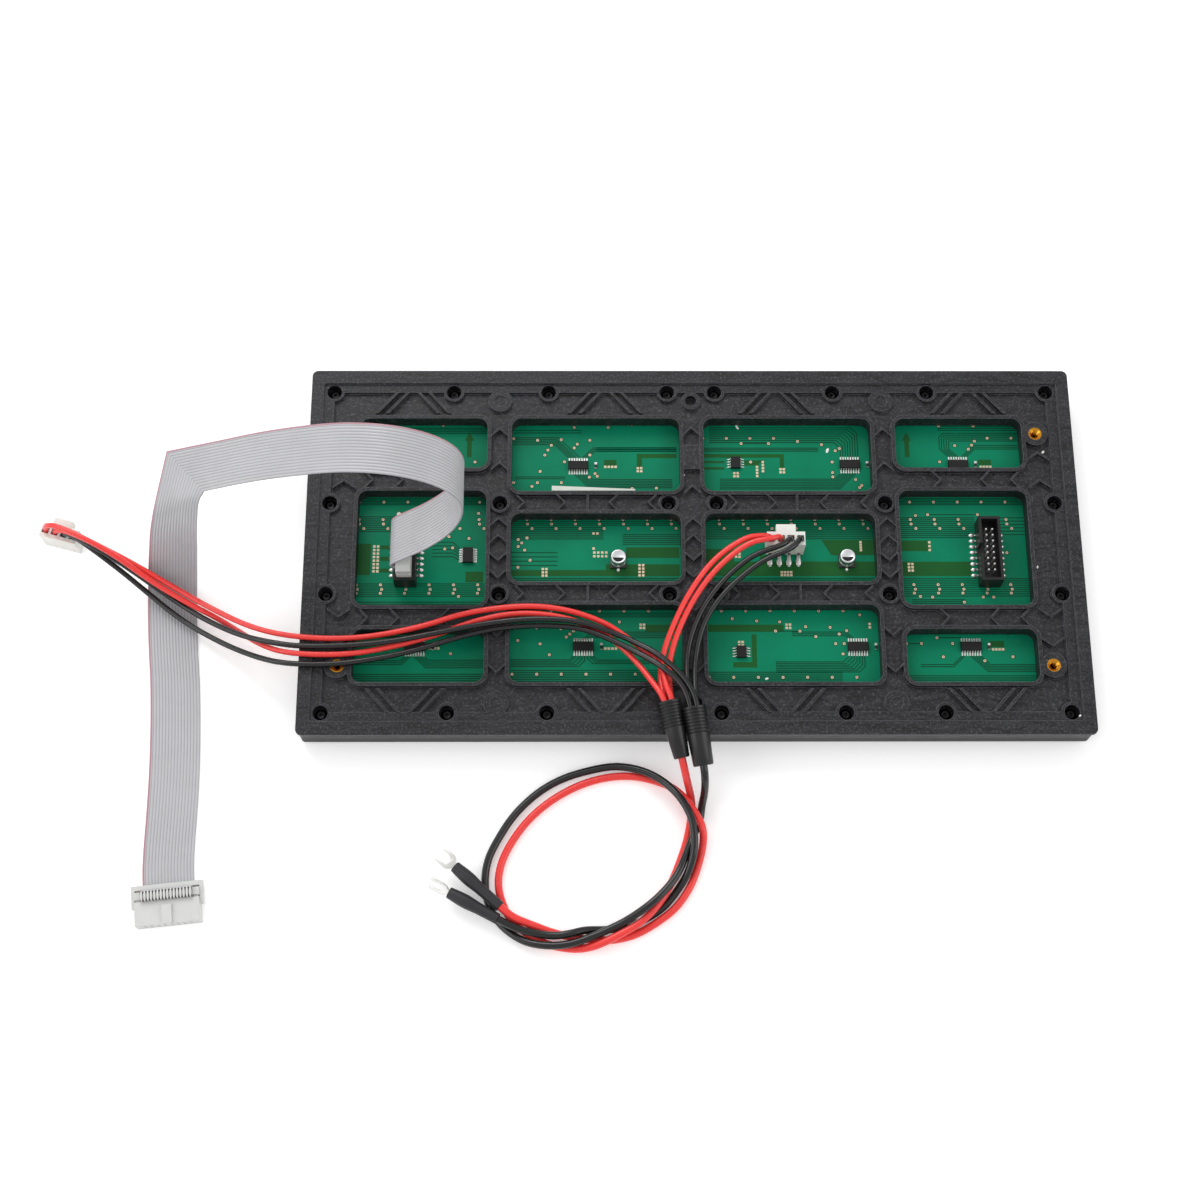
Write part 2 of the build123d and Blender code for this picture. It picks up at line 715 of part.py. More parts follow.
def fork_form():
    """Spade terminal: round barrel behind, flat blade with two tines in front of Z = 0."""
    with BuildPart() as fork:
        with BuildSketch(Plane.XY):
            Circle(barrel_radius)
        extrude(amount=barrel_length)
        with BuildSketch(Plane.XZ.offset(-fork_thickness / 2)):
            with Locations((0, -fork_radius - 0.2)):
                Circle(fork_radius)
            with Locations((0, -(fork_reach + fork_radius) / 2)):
                Rectangle(2 * fork_radius, fork_reach - fork_radius)
            with Locations((0, -0.2)):
                Rectangle(3.0, 2.4)
            with Locations((0, -fork_reach)):
                SlotOverall(fork_reach + 3.2, fork_slot, rotation=90, mode=Mode.SUBTRACT)
            with Locations((0, -fork_reach - 4)):
                Rectangle(12, 8, mode=Mode.SUBTRACT)
        extrude(amount=fork_thickness)
    return fork


def moved_to(form, plane, name):
    """Place a locally made form on a plane and save it."""
    with BuildPart() as placed_part:
        add(form.part.moved(plane.location))
    save(placed_part, name)
    return placed_part


red_splice_boot = moved_to(splice_boot_form(red_boot_mouth, red_boot_end), red_boot_at, "red_splice_boot")
black_splice_boot = moved_to(
    splice_boot_form(black_boot_mouth, black_boot_end), black_boot_at, "black_splice_boot"
)

red_sleeve_head = (-95.9, -131.0, 6.1)
red_sleeve_tail = (-77.9, -146.9, 6.1)
black_sleeve_head = (-98.0, -141.3, 6.1)
black_sleeve_tail = (-78.7, -151.8, 6.1)
red_sleeve_at = placed(red_sleeve_head, red_sleeve_tail)
black_sleeve_at = placed(black_sleeve_head, black_sleeve_tail)
red_sleeve_length = (Vector(*red_sleeve_tail) - Vector(*red_sleeve_head)).length
black_sleeve_length = (Vector(*black_sleeve_tail) - Vector(*black_sleeve_head)).length
red_sleeve = moved_to(sleeve_form(red_sleeve_length), red_sleeve_at, "red_sleeve")
black_sleeve = moved_to(sleeve_form(black_sleeve_length), black_sleeve_at, "black_sleeve")
red_fork_terminal = moved_to(fork_form(), red_sleeve_at, "red_fork_terminal")
black_fork_at = Plane(
    origin=black_sleeve_at.origin,
    x_dir=black_sleeve_at.x_dir * 0.5 + black_sleeve_at.y_dir * 0.866,
    z_dir=black_sleeve_at.z_dir,
)
black_fork_terminal = moved_to(fork_form(), black_fork_at, "black_fork_terminal")


def cord(points, diameter, name):
    """Tube along straight runs joined by tangent arcs."""
    radii = []
    for before, corner, after in zip(points, points[1:], points[2:]):
        back = Vector(*before) - Vector(*corner)
        on = Vector(*after) - Vector(*corner)
        half_turn = radians(180 - back.get_angle(on)) / 2
        radii.append(bend_share * min(back.length, on.length) / tan(half_turn))
    with BuildPart() as tube:
        with BuildLine() as route:
            FilletPolyline(*points, radius=radii)
        with BuildSketch(Plane(origin=route.line @ 0, z_dir=route.line % 0)):
            Circle(diameter / 2)
        sweep(path=route.line)
    print(name, "bend radii", " ".join(f"{radius:.1f}" for radius in radii))
    save(tube, name)
    return tube


def boot_entry(plane, across, up):
    """Last two points of a wire: just outside a boot's mouth and on the floor of its recess."""
    x = across * wire_offset
    y = up * wire_offset
    return [at(plane, x, y, -1.0), at(plane, x, y, boot_recess)]


def plug_exit(plane, chamber, rise):
    """First two points of a wire: on its contact, and straight up, rise above the housing."""
    x = power_pins[chamber]
    return [at(plane, x, 0, plug_height - contact_end), at(plane, x, 0, plug_height + rise)]


# Each route is the hand-picked course of one wire between its two ends, in the order met.
red_wire_1_route = [
    (27.5, 1.9, 23.6), (20.3, 0.8, 24), (7.7, -8.1, 23.5),
    (-2, -21.2, 22), (-9, -35, 20), (-13.6, -47.8, 18.6), (-14.8, -58, 19.8),
]
red_wire_2_route = [
    (31.2, -0.2, 25.8), (21.8, -1.6, 25), (9.6, -11.2, 24),
    (0.4, -22.9, 22), (-6.6, -36.3, 20), (-10.9, -49.9, 18.4), (-11, -59.6, 19.8),
]
black_wire_1_route = [
    (36.2, -2.4, 24), (24.4, -6.2, 24), (15.2, -13.2, 23),
    (8.4, -20.5, 22), (3.3, -27.7, 21), (-0.3, -35, 20), (-2.7, -42.5, 19.5),
    (-3.9, -50.2, 19.2), (-4, -59, 20.2),
]
black_wire_2_route = [
    (39.8, -4.2, 24.5), (28, -8.6, 24), (18.4, -15.9, 23),
    (11.4, -22.6, 22), (6.2, -29.4, 21), (2.8, -36, 20), (0.6, -43.5, 19.5),
    (-0.6, -51.2, 19.2), (-1, -60, 20.2),
]
red_wire_4_route = [
    (-260, 7.2, 21.4), (-238.6, -3.2, 19), (-223.5, -12.6, 10),
    (-207.4, -22, 8.2), (-195, -27.9, 6), (-186.6, -33.4, 6.4), (-174.0, -42.5, 12.6),
    (-161.6, -46.8, 17.2), (-140.3, -47, 17), (-123.3, -43.9, 16.8), (-105.3, -38.9, 17),
    (-87.2, -31.8, 17), (-70.2, -28.8, 17), (-52, -31, 17), (-38.5, -37.1, 17),
    (-30.8, -42.8, 17.2), (-23.2, -51.4, 18.5), (-17.7, -60.4, 22.1),
]
red_wire_3_route = [
    (-256, 5.8, 18.6), (-235, -3.9, 14.5), (-221.4, -10.6, 9),
    (-198.1, -24.4, 9), (-178.4, -35.4, 14.6), (-158.6, -40, 17.2), (-135.4, -40.2, 17),
    (-111.3, -35.4, 17), (-93.3, -29, 17), (-70.2, -25.8, 17), (-52.3, -27.5, 17),
    (-36.9, -33.2, 17), (-29.3, -38.6, 17), (-22, -44.8, 18.4), (-16.5, -49.8, 21),
    (-13.4, -56, 22.6), (-12.5, -62, 23.6),
]
black_wire_3_route = [
    (-252.5, 4, 15.5), (-235.4, -5.4, 11.4), (-219, -16.1, 6),
    (-208.7, -23, 5.2), (-198.1, -29.9, 7.4), (-184.6, -37, 11.6), (-172.1, -41.2, 15.6),
    (-159.5, -43.5, 17), (-140, -43.5, 18.2), (-123.2, -42.3, 19.4), (-111.1, -40, 19.7),
    (-99.1, -37.4, 19.6), (-78.9, -33.6, 19.6), (-62.8, -32.5, 20), (-46.3, -33.9, 20.5),
    (-31, -39.6, 19.8), (-22.5, -44.2, 21.4), (-15.5, -48.8, 23.8), (-6.5, -57.5, 25),
    (-2, -64.5, 24.9),
]
black_wire_4_route = [
    (-249.2, 1.6, 12.2), (-235.3, -8.2, 8), (-224, -17.1, 4.5),
    (-213.9, -25.2, 3.6), (-203.5, -32.3, 4.2), (-190.4, -40, 7), (-177, -46.6, 12),
    (-165.2, -50.6, 16.5), (-147.1, -51.2, 17), (-129.2, -48.9, 17), (-112.2, -45, 17),
    (-93.2, -38.8, 17.2), (-79, -35.6, 17.4), (-62.8, -34.6, 17.6), (-46.3, -36, 18.6),
    (-33.8, -41.6, 19.5), (-23, -47.8, 21.3), (-14.5, -54.2, 25.2), (-6.2, -61.5, 25.4),
]
red_lead_route = [
    (-4.4, -97.2, 12.6), (-3.3, -99.8, 7.4), (-2.2, -102.8, 3.2), (-1.9, -108.2, 1.6),
    (-4.1, -120.3, 1.6), (-9.2, -133.8, 1.6), (-12.2, -140, 3.6), (-15.2, -144.8, 4.7),
    (-19.6, -150, 5), (-24.6, -154.2, 5.1), (-30.5, -157.4, 5.2), (-36.5, -160.4, 4.9),
    (-42, -162.4, 3.4), (-49.1, -163, 1.7), (-58.5, -161.4, 1.6), (-66, -158, 1.6),
    (-71.6, -153.6, 1.6), (-76.1, -148.2, 1.6), (-79.7, -136.9, 1.6), (-76.7, -124.1, 1.6),
    (-65.2, -107.9, 1.6), (-46.7, -96.1, 1.6), (-27.5, -92.4, 1.6), (-11.5, -96.9, 2.4),
    (-5.6, -102.5, 6.2), (-1, -108.9, 5.8), (2.3, -115.7, 6.2), (2.2, -122.2, 3.2),
    (0, -130.6, 1.6), (-3.4, -139.2, 1.6), (-9.2, -147.2, 1.6), (-16.7, -152.7, 1.6),
    (-24.2, -157.1, 1.6), (-32.3, -159.3, 1.6), (-41, -159.4, 1.6), (-49.2, -158.3, 1.6),
    (-57.3, -156.5, 1.8), (-64.7, -153.9, 3.4), (-71.6, -151.6, 5.4),
]
black_lead_route = [
    (2.9, -100.2, 12.4), (2.7, -102.8, 7.2), (1.9, -106, 3), (1.3, -111.6, 1.8),
    (-1.6, -118.2, 4.7), (-4.4, -125.4, 5), (-7.7, -133.2, 4.9), (-12.2, -139.6, 6.9),
    (-17.9, -145.4, 7.9), (-24.9, -150.4, 6.8), (-32.3, -154.5, 5.4), (-47.3, -160.7, 4.9),
    (-54.7, -162.1, 5.1), (-62.2, -161.8, 4.6), (-69.1, -159.9, 3.2), (-76, -155.2, 1.8),
    (-80.8, -149.5, 1.6), (-83.4, -143.2, 1.6), (-84.3, -136.9, 1.6), (-83.8, -129.8, 1.6),
    (-81.5, -122.8, 1.6), (-72.2, -107.3, 1.6), (-56.9, -94.9, 1.6), (-36.4, -89.3, 2),
    (-26.8, -90.2, 3.8), (-18.6, -93.2, 5.5), (-11.7, -98, 6.8), (-6.1, -104.7, 8.9),
    (-2.4, -111.9, 8.4), (-1.3, -119.7, 8), (-1.7, -126.5, 7.2), (-4.5, -134.4, 3.7),
    (-8.8, -140.5, 1.7), (-13.6, -146.5, 1.6), (-21, -151.3, 1.6), (-28.8, -154.5, 1.6),
    (-37.3, -155.4, 1.6), (-44.5, -155.5, 3.2), (-50.2, -157.3, 5), (-56.5, -158.3, 5),
    (-62.8, -157.5, 4.9), (-69.6, -156, 5.4),
]

left, right, low, high = -1, 1, -1, 1
red_wire_1 = cord(
    plug_exit(plug_at, 0, 1.8) + red_wire_1_route + boot_entry(red_boot_at, left, low),
    wire_diameter,
    "red_wire_1",
)
red_wire_2 = cord(
    plug_exit(plug_at, 1, 2.8) + red_wire_2_route + boot_entry(red_boot_at, right, low),
    wire_diameter,
    "red_wire_2",
)
black_wire_1 = cord(
    plug_exit(plug_at, 2, 1.8) + black_wire_1_route + boot_entry(black_boot_at, left, low),
    wire_diameter,
    "black_wire_1",
)
black_wire_2 = cord(
    plug_exit(plug_at, 3, 1.8) + black_wire_2_route + boot_entry(black_boot_at, right, low),
    wire_diameter,
    "black_wire_2",
)
red_wire_3 = cord(
    plug_exit(free_at, 1, 2.6) + red_wire_3_route + boot_entry(red_boot_at, right, high),
    wire_diameter,
    "red_wire_3",
)
red_wire_4 = cord(
    plug_exit(free_at, 0, 4.6) + red_wire_4_route + boot_entry(red_boot_at, left, high),
    wire_diameter,
    "red_wire_4",
)
black_wire_3 = cord(
    plug_exit(free_at, 2, 2.4) + black_wire_3_route + boot_entry(black_boot_at, right, high),
    wire_diameter,
    "black_wire_3",
)
black_wire_4 = cord(
    plug_exit(free_at, 3, 1.4) + black_wire_4_route + boot_entry(black_boot_at, left, high),
    wire_diameter,
    "black_wire_4",
)
exit_run = 3.2
sleeve_run = 4.0
red_boot_length = (Vector(*red_boot_end) - Vector(*red_boot_mouth)).length
black_boot_length = (Vector(*black_boot_end) - Vector(*black_boot_mouth)).length
red_lead = cord(
    [red_boot_end, at(red_boot_at, 0, 0, red_boot_length + exit_run)]
    + red_lead_route
    + [at(red_sleeve_at, 0, 0, red_sleeve_length + sleeve_run), red_sleeve_tail],
    lead_diameter,
    "red_lead",
)
black_lead = cord(
    [black_boot_end, at(black_boot_at, 0, 0, black_boot_length + exit_run)]
    + black_lead_route
    + [at(black_sleeve_at, 0, 0, black_sleeve_length + sleeve_run), black_sleeve_tail],
    lead_diameter,
    "black_lead",
)

# Ribbon: flat stations from the seated plug over its loop to the mitred fold, then down to the
# floor and on to the loose socket. Each station is the middle of the strip; west_lean is the dip
# of its across direction on the falling stretch.
cable_level = cavity_floor + socket_body + ribbon_thickness / 2
ribbon_loop = [
    (input_x + socket_width / 2, header_y, cable_level), (input_x - 3.3, header_y, cable_level),
    (input_x - 4.6, header_y, 20.9), (input_x - 5.1, header_y, 22.8), (input_x - 4.1, header_y, 25.2),
    (-119.8, -1.0, 28.6), (-114.6, -0.6, 33.2), (-108.4, 0.0, 38.6), (-99.6, 1.2, 48.8),
    (-94.0, 2.3, 59.6), (-91.4, 3.2, 70.4), (-92.0, 4.2, 79.6), (-97.0, 5.2, 88.0),
    (-105.4, 6.5, 93.6), (-117.6, 8.0, 96.4), (-130.6, 9.5, 95.2), (-141.6, 10.8, 91.6),
    (-153.6, 12.0, 86.0), (-165.2, 13.4, 79.4), (-175.6, 14.6, 72.6), (-184.4, 15.8, 65.8),
]
fold_middle = (-203.2, 18.6, 51.0)
fold_west = (-0.92, 0.08, -0.38)
ribbon_fall = [
    ((-207.0, 6.0, 46.6), (-0.93, 0.0, -0.36)), ((-208.6, 2.2, 40.0), (-0.95, 0.05, -0.28)),
    ((-210.6, -0.2, 31.0), (-0.97, 0.05, -0.2)), ((-212.6, -2.0, 20.0), (-0.98, 0.03, -0.12)),
    ((-214.4, -4.6, 10.6), (-1, 0, -0.06)), ((-215.4, -9.2, 4.2), (-1, 0, -0.02)),
    ((-215.6, -15.6, 1.2), (-1, 0, 0)), ((-215.2, -24.0, 0.5), (-1, 0.03, 0)),
    ((-214.0, -38.0, 0.5), (-1, 0.05, 0)), ((-211.9, -55.0, 0.5), (-1, 0.07, 0)),
    ((-210.3, -78.0, 0.5), (-1, 0.05, 0)), ((-209.6, -100.0, 0.5), (-1, -0.03, 0)),
]


loop_stations = [(middle, (0, 1, 0)) for middle in ribbon_loop]
turn_in = loose.z_dir.cross(loose.x_dir) * -1
socket_turn = [
    (-2.5, cap_top + 12.0), (-2.5, cap_top + 1.9), (-2.35, cap_top + 0.85), (-1.9, cap_top + 0.45),
    (2.5, cap_top + 0.46), (3.35, cap_top + 0.4), (3.75, cap_top - 0.4), (3.75, socket_body + 1.4),
    (3.35, socket_body + 0.5), (2.5, socket_body + 0.45), (-2.9, socket_body + 0.45),
]
socket_stations = [(at(loose, x, 0, z), tuple(turn_in)) for x, z in socket_turn]
stations = loop_stations + [(fold_middle, (0, 1, 0))] + ribbon_fall + socket_stations
fold_at = len(loop_stations)

with BuildPart() as ribbon_cable:
    for i, (middle, across) in enumerate(stations):
        before = Vector(*stations[max(i - 1, 0)][0])
        after = Vector(*stations[min(i + 1, len(stations) - 1)][0])
        heading = after - before
        side = Vector(*across)
        width = ribbon_width
        if i == fold_at:
            # mitred corner: the strip's edges meet on the fold line
            heading = Vector(*fold_west).normalized() - side
            side = Vector(*fold_west).normalized() + side
            width = ribbon_width * side.length
        with BuildSketch(Plane(origin=middle, x_dir=side, z_dir=heading)):
            Rectangle(width, ribbon_thickness)
    loft(ruled=True)
save(ribbon_cable, "ribbon_cable")
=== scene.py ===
"""LED display module, back upward, dressed for its portrait on a pale floor."""

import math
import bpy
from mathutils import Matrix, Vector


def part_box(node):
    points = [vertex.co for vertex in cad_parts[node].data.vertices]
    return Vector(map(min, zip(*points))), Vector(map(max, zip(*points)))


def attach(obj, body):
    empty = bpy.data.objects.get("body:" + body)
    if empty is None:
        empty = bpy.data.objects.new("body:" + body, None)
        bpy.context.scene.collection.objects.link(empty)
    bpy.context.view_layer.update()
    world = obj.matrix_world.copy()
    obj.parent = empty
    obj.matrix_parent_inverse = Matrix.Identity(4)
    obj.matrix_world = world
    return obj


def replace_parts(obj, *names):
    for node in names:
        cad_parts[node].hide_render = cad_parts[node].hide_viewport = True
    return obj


bl_info = {
    "name": "LED display module",
    "version": (1, 0, 0),
    "blender": (4, 5, 0),
    "location": "3D View > Sidebar > Module",
    "description": "Dresses the CAD model of an LED display module with its harness and ribbon",
    "category": "Object",
}

import bmesh
import bpy
from bpy.props import FloatProperty, FloatVectorProperty, IntProperty, PointerProperty
from mathutils import Euler, Matrix, Vector

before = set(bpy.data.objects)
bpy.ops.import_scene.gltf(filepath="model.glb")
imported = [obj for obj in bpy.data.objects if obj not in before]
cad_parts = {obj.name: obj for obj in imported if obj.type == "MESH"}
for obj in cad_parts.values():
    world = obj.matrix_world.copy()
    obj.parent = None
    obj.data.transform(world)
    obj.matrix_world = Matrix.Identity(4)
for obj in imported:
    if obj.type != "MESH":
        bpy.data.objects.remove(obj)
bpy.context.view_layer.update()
MM = 0.001


def linear(code):
    """Linear RGBA of an sRGB hex colour."""
    parts = [int(code[i:i + 2], 16) / 255 for i in (0, 2, 4)]
    return tuple(c / 12.92 if c <= 0.04045 else ((c + 0.055) / 1.055) ** 2.4 for c in parts) + (1.0,)


# Levels and places of the module, in millimetres. The floor is Z = 0, the back faces up.
BOARD_TOP = 7.8
FLOOR_LEVEL = 13.0
LEDGE_LEVEL = 14.4
LIP_LEVEL = 15.2
SEAT_FLOOR = 9.6
# What is etched or laid on the board stands this far over its top, so that no two faces coincide.
COPPER_RISE = 0.02
TRACK_RISE = 0.03
RIM_RISE = 0.04
PAD_RISE = 0.055
LAND_RISE = 0.06
TOP_RISE = 0.07
SEAT_RADIUS = 3.15
HEADER_PLACES = ((-118.5, -1.0), (122.2, -1.0))
CHIPS = ((-113, 39.8), (-47.5, 39.3), (66.9, 39.8), (112.6, 39.8),
         (-114, -41), (-45.4, -40.8), (66.7, -40.9), (112.9, -40.9))
CHIP_LEG_PITCH = 1.05
SMALL_CHIPS = ((18.8, 40.6), (19.1, -43.1))
BUFFER_CHIP = (-93.1, -1.0)
CANS = ((-30.9, -3.4), (63.6, -3.2))
POWER_X = 37.8
POWER_PINS = (-5.94, -1.98, 1.98, 5.94)
INSERTS = [(i * 144.5, j * 51.0) for i in (-1, 1) for j in (-1, 1)]
QUARTER_SCREWS = ((150.5, 70.5), (100, 70.5), (60, 70.5), (10, 70.5), (150.5, 20), (80, 20), (10, 20))
SCREWS = [(i * x, j * y) for x, y in QUARTER_SCREWS for i in (-1, 1) for j in (-1, 1)]
WINDOWS = []
for side in (-1, 1):
    WINDOWS.append((side * 40.15, 0, 70.3, 30.0))
    WINDOWS.append((side * 112.1, 0, 53.2, 50.4))
    for end in (-1, 1):
        WINDOWS.append((side * 40.15, end * 41.5, 70.3, 33.0))
        WINDOWS.append((side * 112.1, end * 46.75, 53.2, 22.5))

# Bare pads of the board's vias. Rows repeat at the pixel pitch: first place, then how many.
VIA_ROWS = (
    ((-138.8, 15.1), 28), ((-138.6, 13.1), 28), ((-136.7, 11.1), 28),
    ((-138.9, -13.8), 6), ((-138.4, -15.8), 6), ((-138.9, -17.5), 6), ((-138.7, 23.0), 6),
    ((91.1, -13.8), 5), ((91.6, -15.8), 5), ((91.1, -17.5), 5), ((91.3, 23.0), 5),
    ((5.7, -53.8), 7), ((-74.3, -52.4), 7), ((5.2, 52.1), 4), ((-68.7, -25.3), 6), ((11.3, -25.3), 6),
)
VIAS = (
    (45.3, 50.7), (55.4, 49.2), (21.4, 49.7), (33, 49.7), (61.1, 46.4), (62.9, 47.4), (59.6, 41.2),
    (59.6, 36.4), (59.6, 34.4), (69.2, 33.2), (71.6, 30.5), (70.7, 29.6), (25.2, 41.2),
    (-74.8, 51.9), (-64.7, 51.2), (-54.7, 51.5), (-42.6, 51.2), (-49.2, 57.1), (-34.8, 57.1), (-24.7, 58.4),
    (-58.9, 48.9), (-60.3, 46.7), (-61.6, 44.4), (-47.9, 49.4), (-49.2, 47.7), (-42.6, 44.4), (-53.3, 41.3),
    (-63.5, 36.9), (-64.6, 31.8), (-74.6, 31.8), (-54.6, 31.8), (-66.9, 30.1), (-42.8, 34.3), (-40.4, 35.9),
    (-39.5, 34.7), (-24.9, 29.1), (-14.7, 29.3), (-72.4, 6.2), (-68.8, 6.9), (-70.9, 4.7), (-72.4, 3.1),
    (-69.7, 1.5), (-67.4, -3), (-72.4, -6.1), (68.1, -27), (15.7, -28.6), (25.7, -29.6), (35.1, -30),
    (33.3, -34), (43.3, -34), (45.7, -32.1), (55.7, -32.4), (49.7, -36.4), (59.3, -35.3), (62.4, -33.8),
    (57.7, -39.4), (61.2, -39.4), (60.5, -43.8), (-30.6, -30), (-64.4, -32.6), (-54.6, -32.9), (-74.3, -32.6),
    (-52.3, -36.5), (-50.9, -35.2), (-49.4, -33.9), (-48.1, -32.7), (-46.2, -32.7), (-40.8, -32.7),
    (-39.9, -35.7), (-72.1, -38), (-63, -39.4), (-59.2, -44.1),
    (105.5, 57.8), (120.2, 57.8), (125.8, 52.2), (135.9, 52.2), (120.3, 50.8), (119, 49), (117.5, 47.1),
    (111.8, 48.8), (105, 41.3), (98.5, 17.3), (119.4, 17.3), (93.4, 16.9), (130.5, 0.3), (93.5, -19),
    (98.5, -19.3), (119.4, -19.3), (123.7, -19.3), (111.5, -21.5), (86.6, -39.4), (92.8, -39.4),
    (105.5, -39.4), (99.2, -36.9), (101.4, -45.1), (118.2, -46.8), (129.8, -45.1), (128.4, -34.9),
    (-104.7, 58.1), (-91, 41.2), (-122.3, 18), (-89.1, 17.9), (-92.9, 6.7), (-99.6, 2.5), (-102.8, 2),
    (-101.2, 7.5), (-96.7, -18.9), (-99.4, -43.6),
)
# Square test pads: first pad, columns, rows, and the steps between them.
PAD_GROUPS = (
    ((30.3, 41.2), 1, 4, 1.4), ((27.8, 39.0), 1, 4, 1.4), ((37.7, 37.9), 2, 2, 1.4),
    ((18.2, 36.1), 2, 2, 1.4),
    ((-22.4, 38.4), 2, 2, 1.4), ((37.9, -31.2), 2, 2, 1.4), ((18.3, -38.7), 2, 2, 1.4),
    ((-21.9, -31.2), 2, 2, 1.4), ((-36.1, 39.0), 4, 1, 1.45), ((-36.4, -41.5), 4, 1, 1.45),
    ((122.2, 39.0), 4, 1, 1.35), ((121.9, -41.9), 4, 1, 1.35), ((-108.5, -41.3), 4, 1, 1.35),
    ((69.9, 5.0), 1, 4, 1.2), ((36.7, -8.3), 4, 2, 1.3), ((-41.1, 8.9), 2, 1, 1.6), ((-41.1, 2.2), 1, 1, 1.5),
    ((-40.8, 0.4), 4, 2, 1.65), ((-62.1, -6.9), 2, 3, 1.45), ((-22.1, -5.2), 2, 4, 1.5),
    ((98.5, 4.9), 1, 3, 1.7),
    ((89.5, -4.7), 2, 3, 1.45), ((72.0, -30.9), 1, 2, 1.5), ((-132.0, 3.1), 2, 8, 1.57),
    ((18.0, 1.3), 2, 3, 1.4),
)
# Copper fields under the mask: corners in order.
POURS = (
    ((5, 44.9), (39.3, 44.9), (39.3, 38.2), (37.5, 38.2), (37.5, 43.2), (5, 43.2)),
    ((5, 41.7), (14, 41.7), (14, 40.7), (5, 40.7)), ((5, 38.9), (14, 38.9), (14, 37.7), (5, 37.7)),
    ((22.5, 42), (31, 42), (31, 40.6), (28.6, 40.6), (28.6, 39.6), (22.5, 39.6)),
    ((-6, 45), (-22.8, 45), (-22.8, 39), (-20.6, 39), (-20.6, 43), (-6, 43)),
    ((-36.6, 42.2), (-31.4, 42.2), (-31.4, 39.2), (-36.6, 39.2)),
    ((17, -3.6), (75.3, -3.6), (75.3, -10), (17, -10)), ((5.5, 2), (17, 2), (17, -10), (5.5, -10)),
    ((53.6, 6), (75.3, 6), (75.3, -0.8), (57.5, -0.8)), ((27.8, -0.8), (31, -0.8), (31, -3.8), (27.8, -3.8)),
    ((-27.7, 2.7), (-5.5, 2.7), (-5.5, -2), (-27.7, -2)),
    ((-36, -4.8), (-5.5, -4.8), (-5.5, -10), (-36, -10)),
    ((-75, -7.3), (-36, -7.3), (-36, -10), (-75, -10)),
    ((5, -31.2), (36.6, -31.2), (36.6, -34.3), (5, -34.3)),
    ((15.6, -47.3), (25.4, -47.3), (25.4, -49.6), (15.6, -49.6)),
    ((23.4, -35.4), (25.4, -35.4), (25.4, -47.3), (23.4, -47.3)),
    ((-6, -31.2), (-20, -31.2), (-20, -34.3), (-6, -34.3)),
    ((86.7, 5.7), (98.5, 5.7), (98.5, 1), (86.7, 1)),
    ((86.7, -3.7), (115.3, -3.7), (115.3, -10), (86.7, -10)),
    ((121.3, 42.3), (126.7, 42.3), (126.7, 39.9), (121.3, 39.9)),
    ((120.7, -38.3), (126.5, -38.3), (126.5, -41), (120.7, -41)),
    ((-94, -8), (-86.7, -8), (-86.7, -12.7), (-94, -12.7)),
    ((-129.5, 3.6), (-125, 3.6), (-125, 1.8), (-129.5, 1.8)),
    ((-129.5, -1.4), (-125, -1.4), (-125, -3.2), (-129.5, -3.2)),
    ((-129.5, -6.6), (-125, -6.6), (-125, -8.4), (-129.5, -8.4)),
    ((-138.7, -9.5), (-133.4, -9.5), (-133.4, 4.4), (-138.7, 4.4)),
)
# Runs of level tracks: from X to X, first and last height, and the step between two.
LEVEL_TRACKS = (
    (5, 54, 47.6, 46.2, 0.7), (-40, -6, 47.7, 46.2, 0.75), (-75, -46, 55.8, 54.6, 1.2),
    (-74, -53, 34.4, 33.6, 0.8),
    (5, 75.3, 16, 6.6, 0.86), (-75.3, -37, 11.6, 6.4, 0.86), (-75.3, -5, 16, 12.3, 0.86),
    (-29, -5, 8.4, 4.4, 0.86),
    (5, 75.3, -11, -12.6, 0.8), (-75.3, -5, -11, -12.6, 0.8), (-75.3, -56, 0.4, -5.6, 1.9),
    (86, 118, 15.9, 6.8, 0.88), (127, 139, 15.9, 9, 1.5), (86, 139, -11.2, -18.8, 0.95),
    (90, 112, -20.4, -22.8, 0.8),
    (86, 139, 24.6, 21.8, 0.7), (105, 139, 57.6, 55.8, 0.9), (86, 106, 38.6, 38.6, 1.0),
    (-139, -99, 16.4, 9.8, 0.94), (-139, -86, -13.4, -18.8, 0.9), (-139, -86, 24.6, 21.8, 0.7),
    (-139, -86, -21.4, -23.4, 1.0), (5, 60, -51.6, -56.5, 0.82), (-75, -5, -50.8, -56.4, 0.93),
    (-75.3, -5, -26.2, -27.8, 0.8), (21.4, 33, 49.7, 49.7, 1.0), (33.3, 43.3, -34, -34, 1.0),
    (98.5, 119.4, 17.3, 17.3, 1.0), (86.6, 92.8, -39.4, -39.4, 1.0), (-139, -86, 56.8, 54.4, 0.8),
    (86, 139, -53.2, -56.8, 0.9), (-139, -86, -52.4, -56.9, 0.9),
)
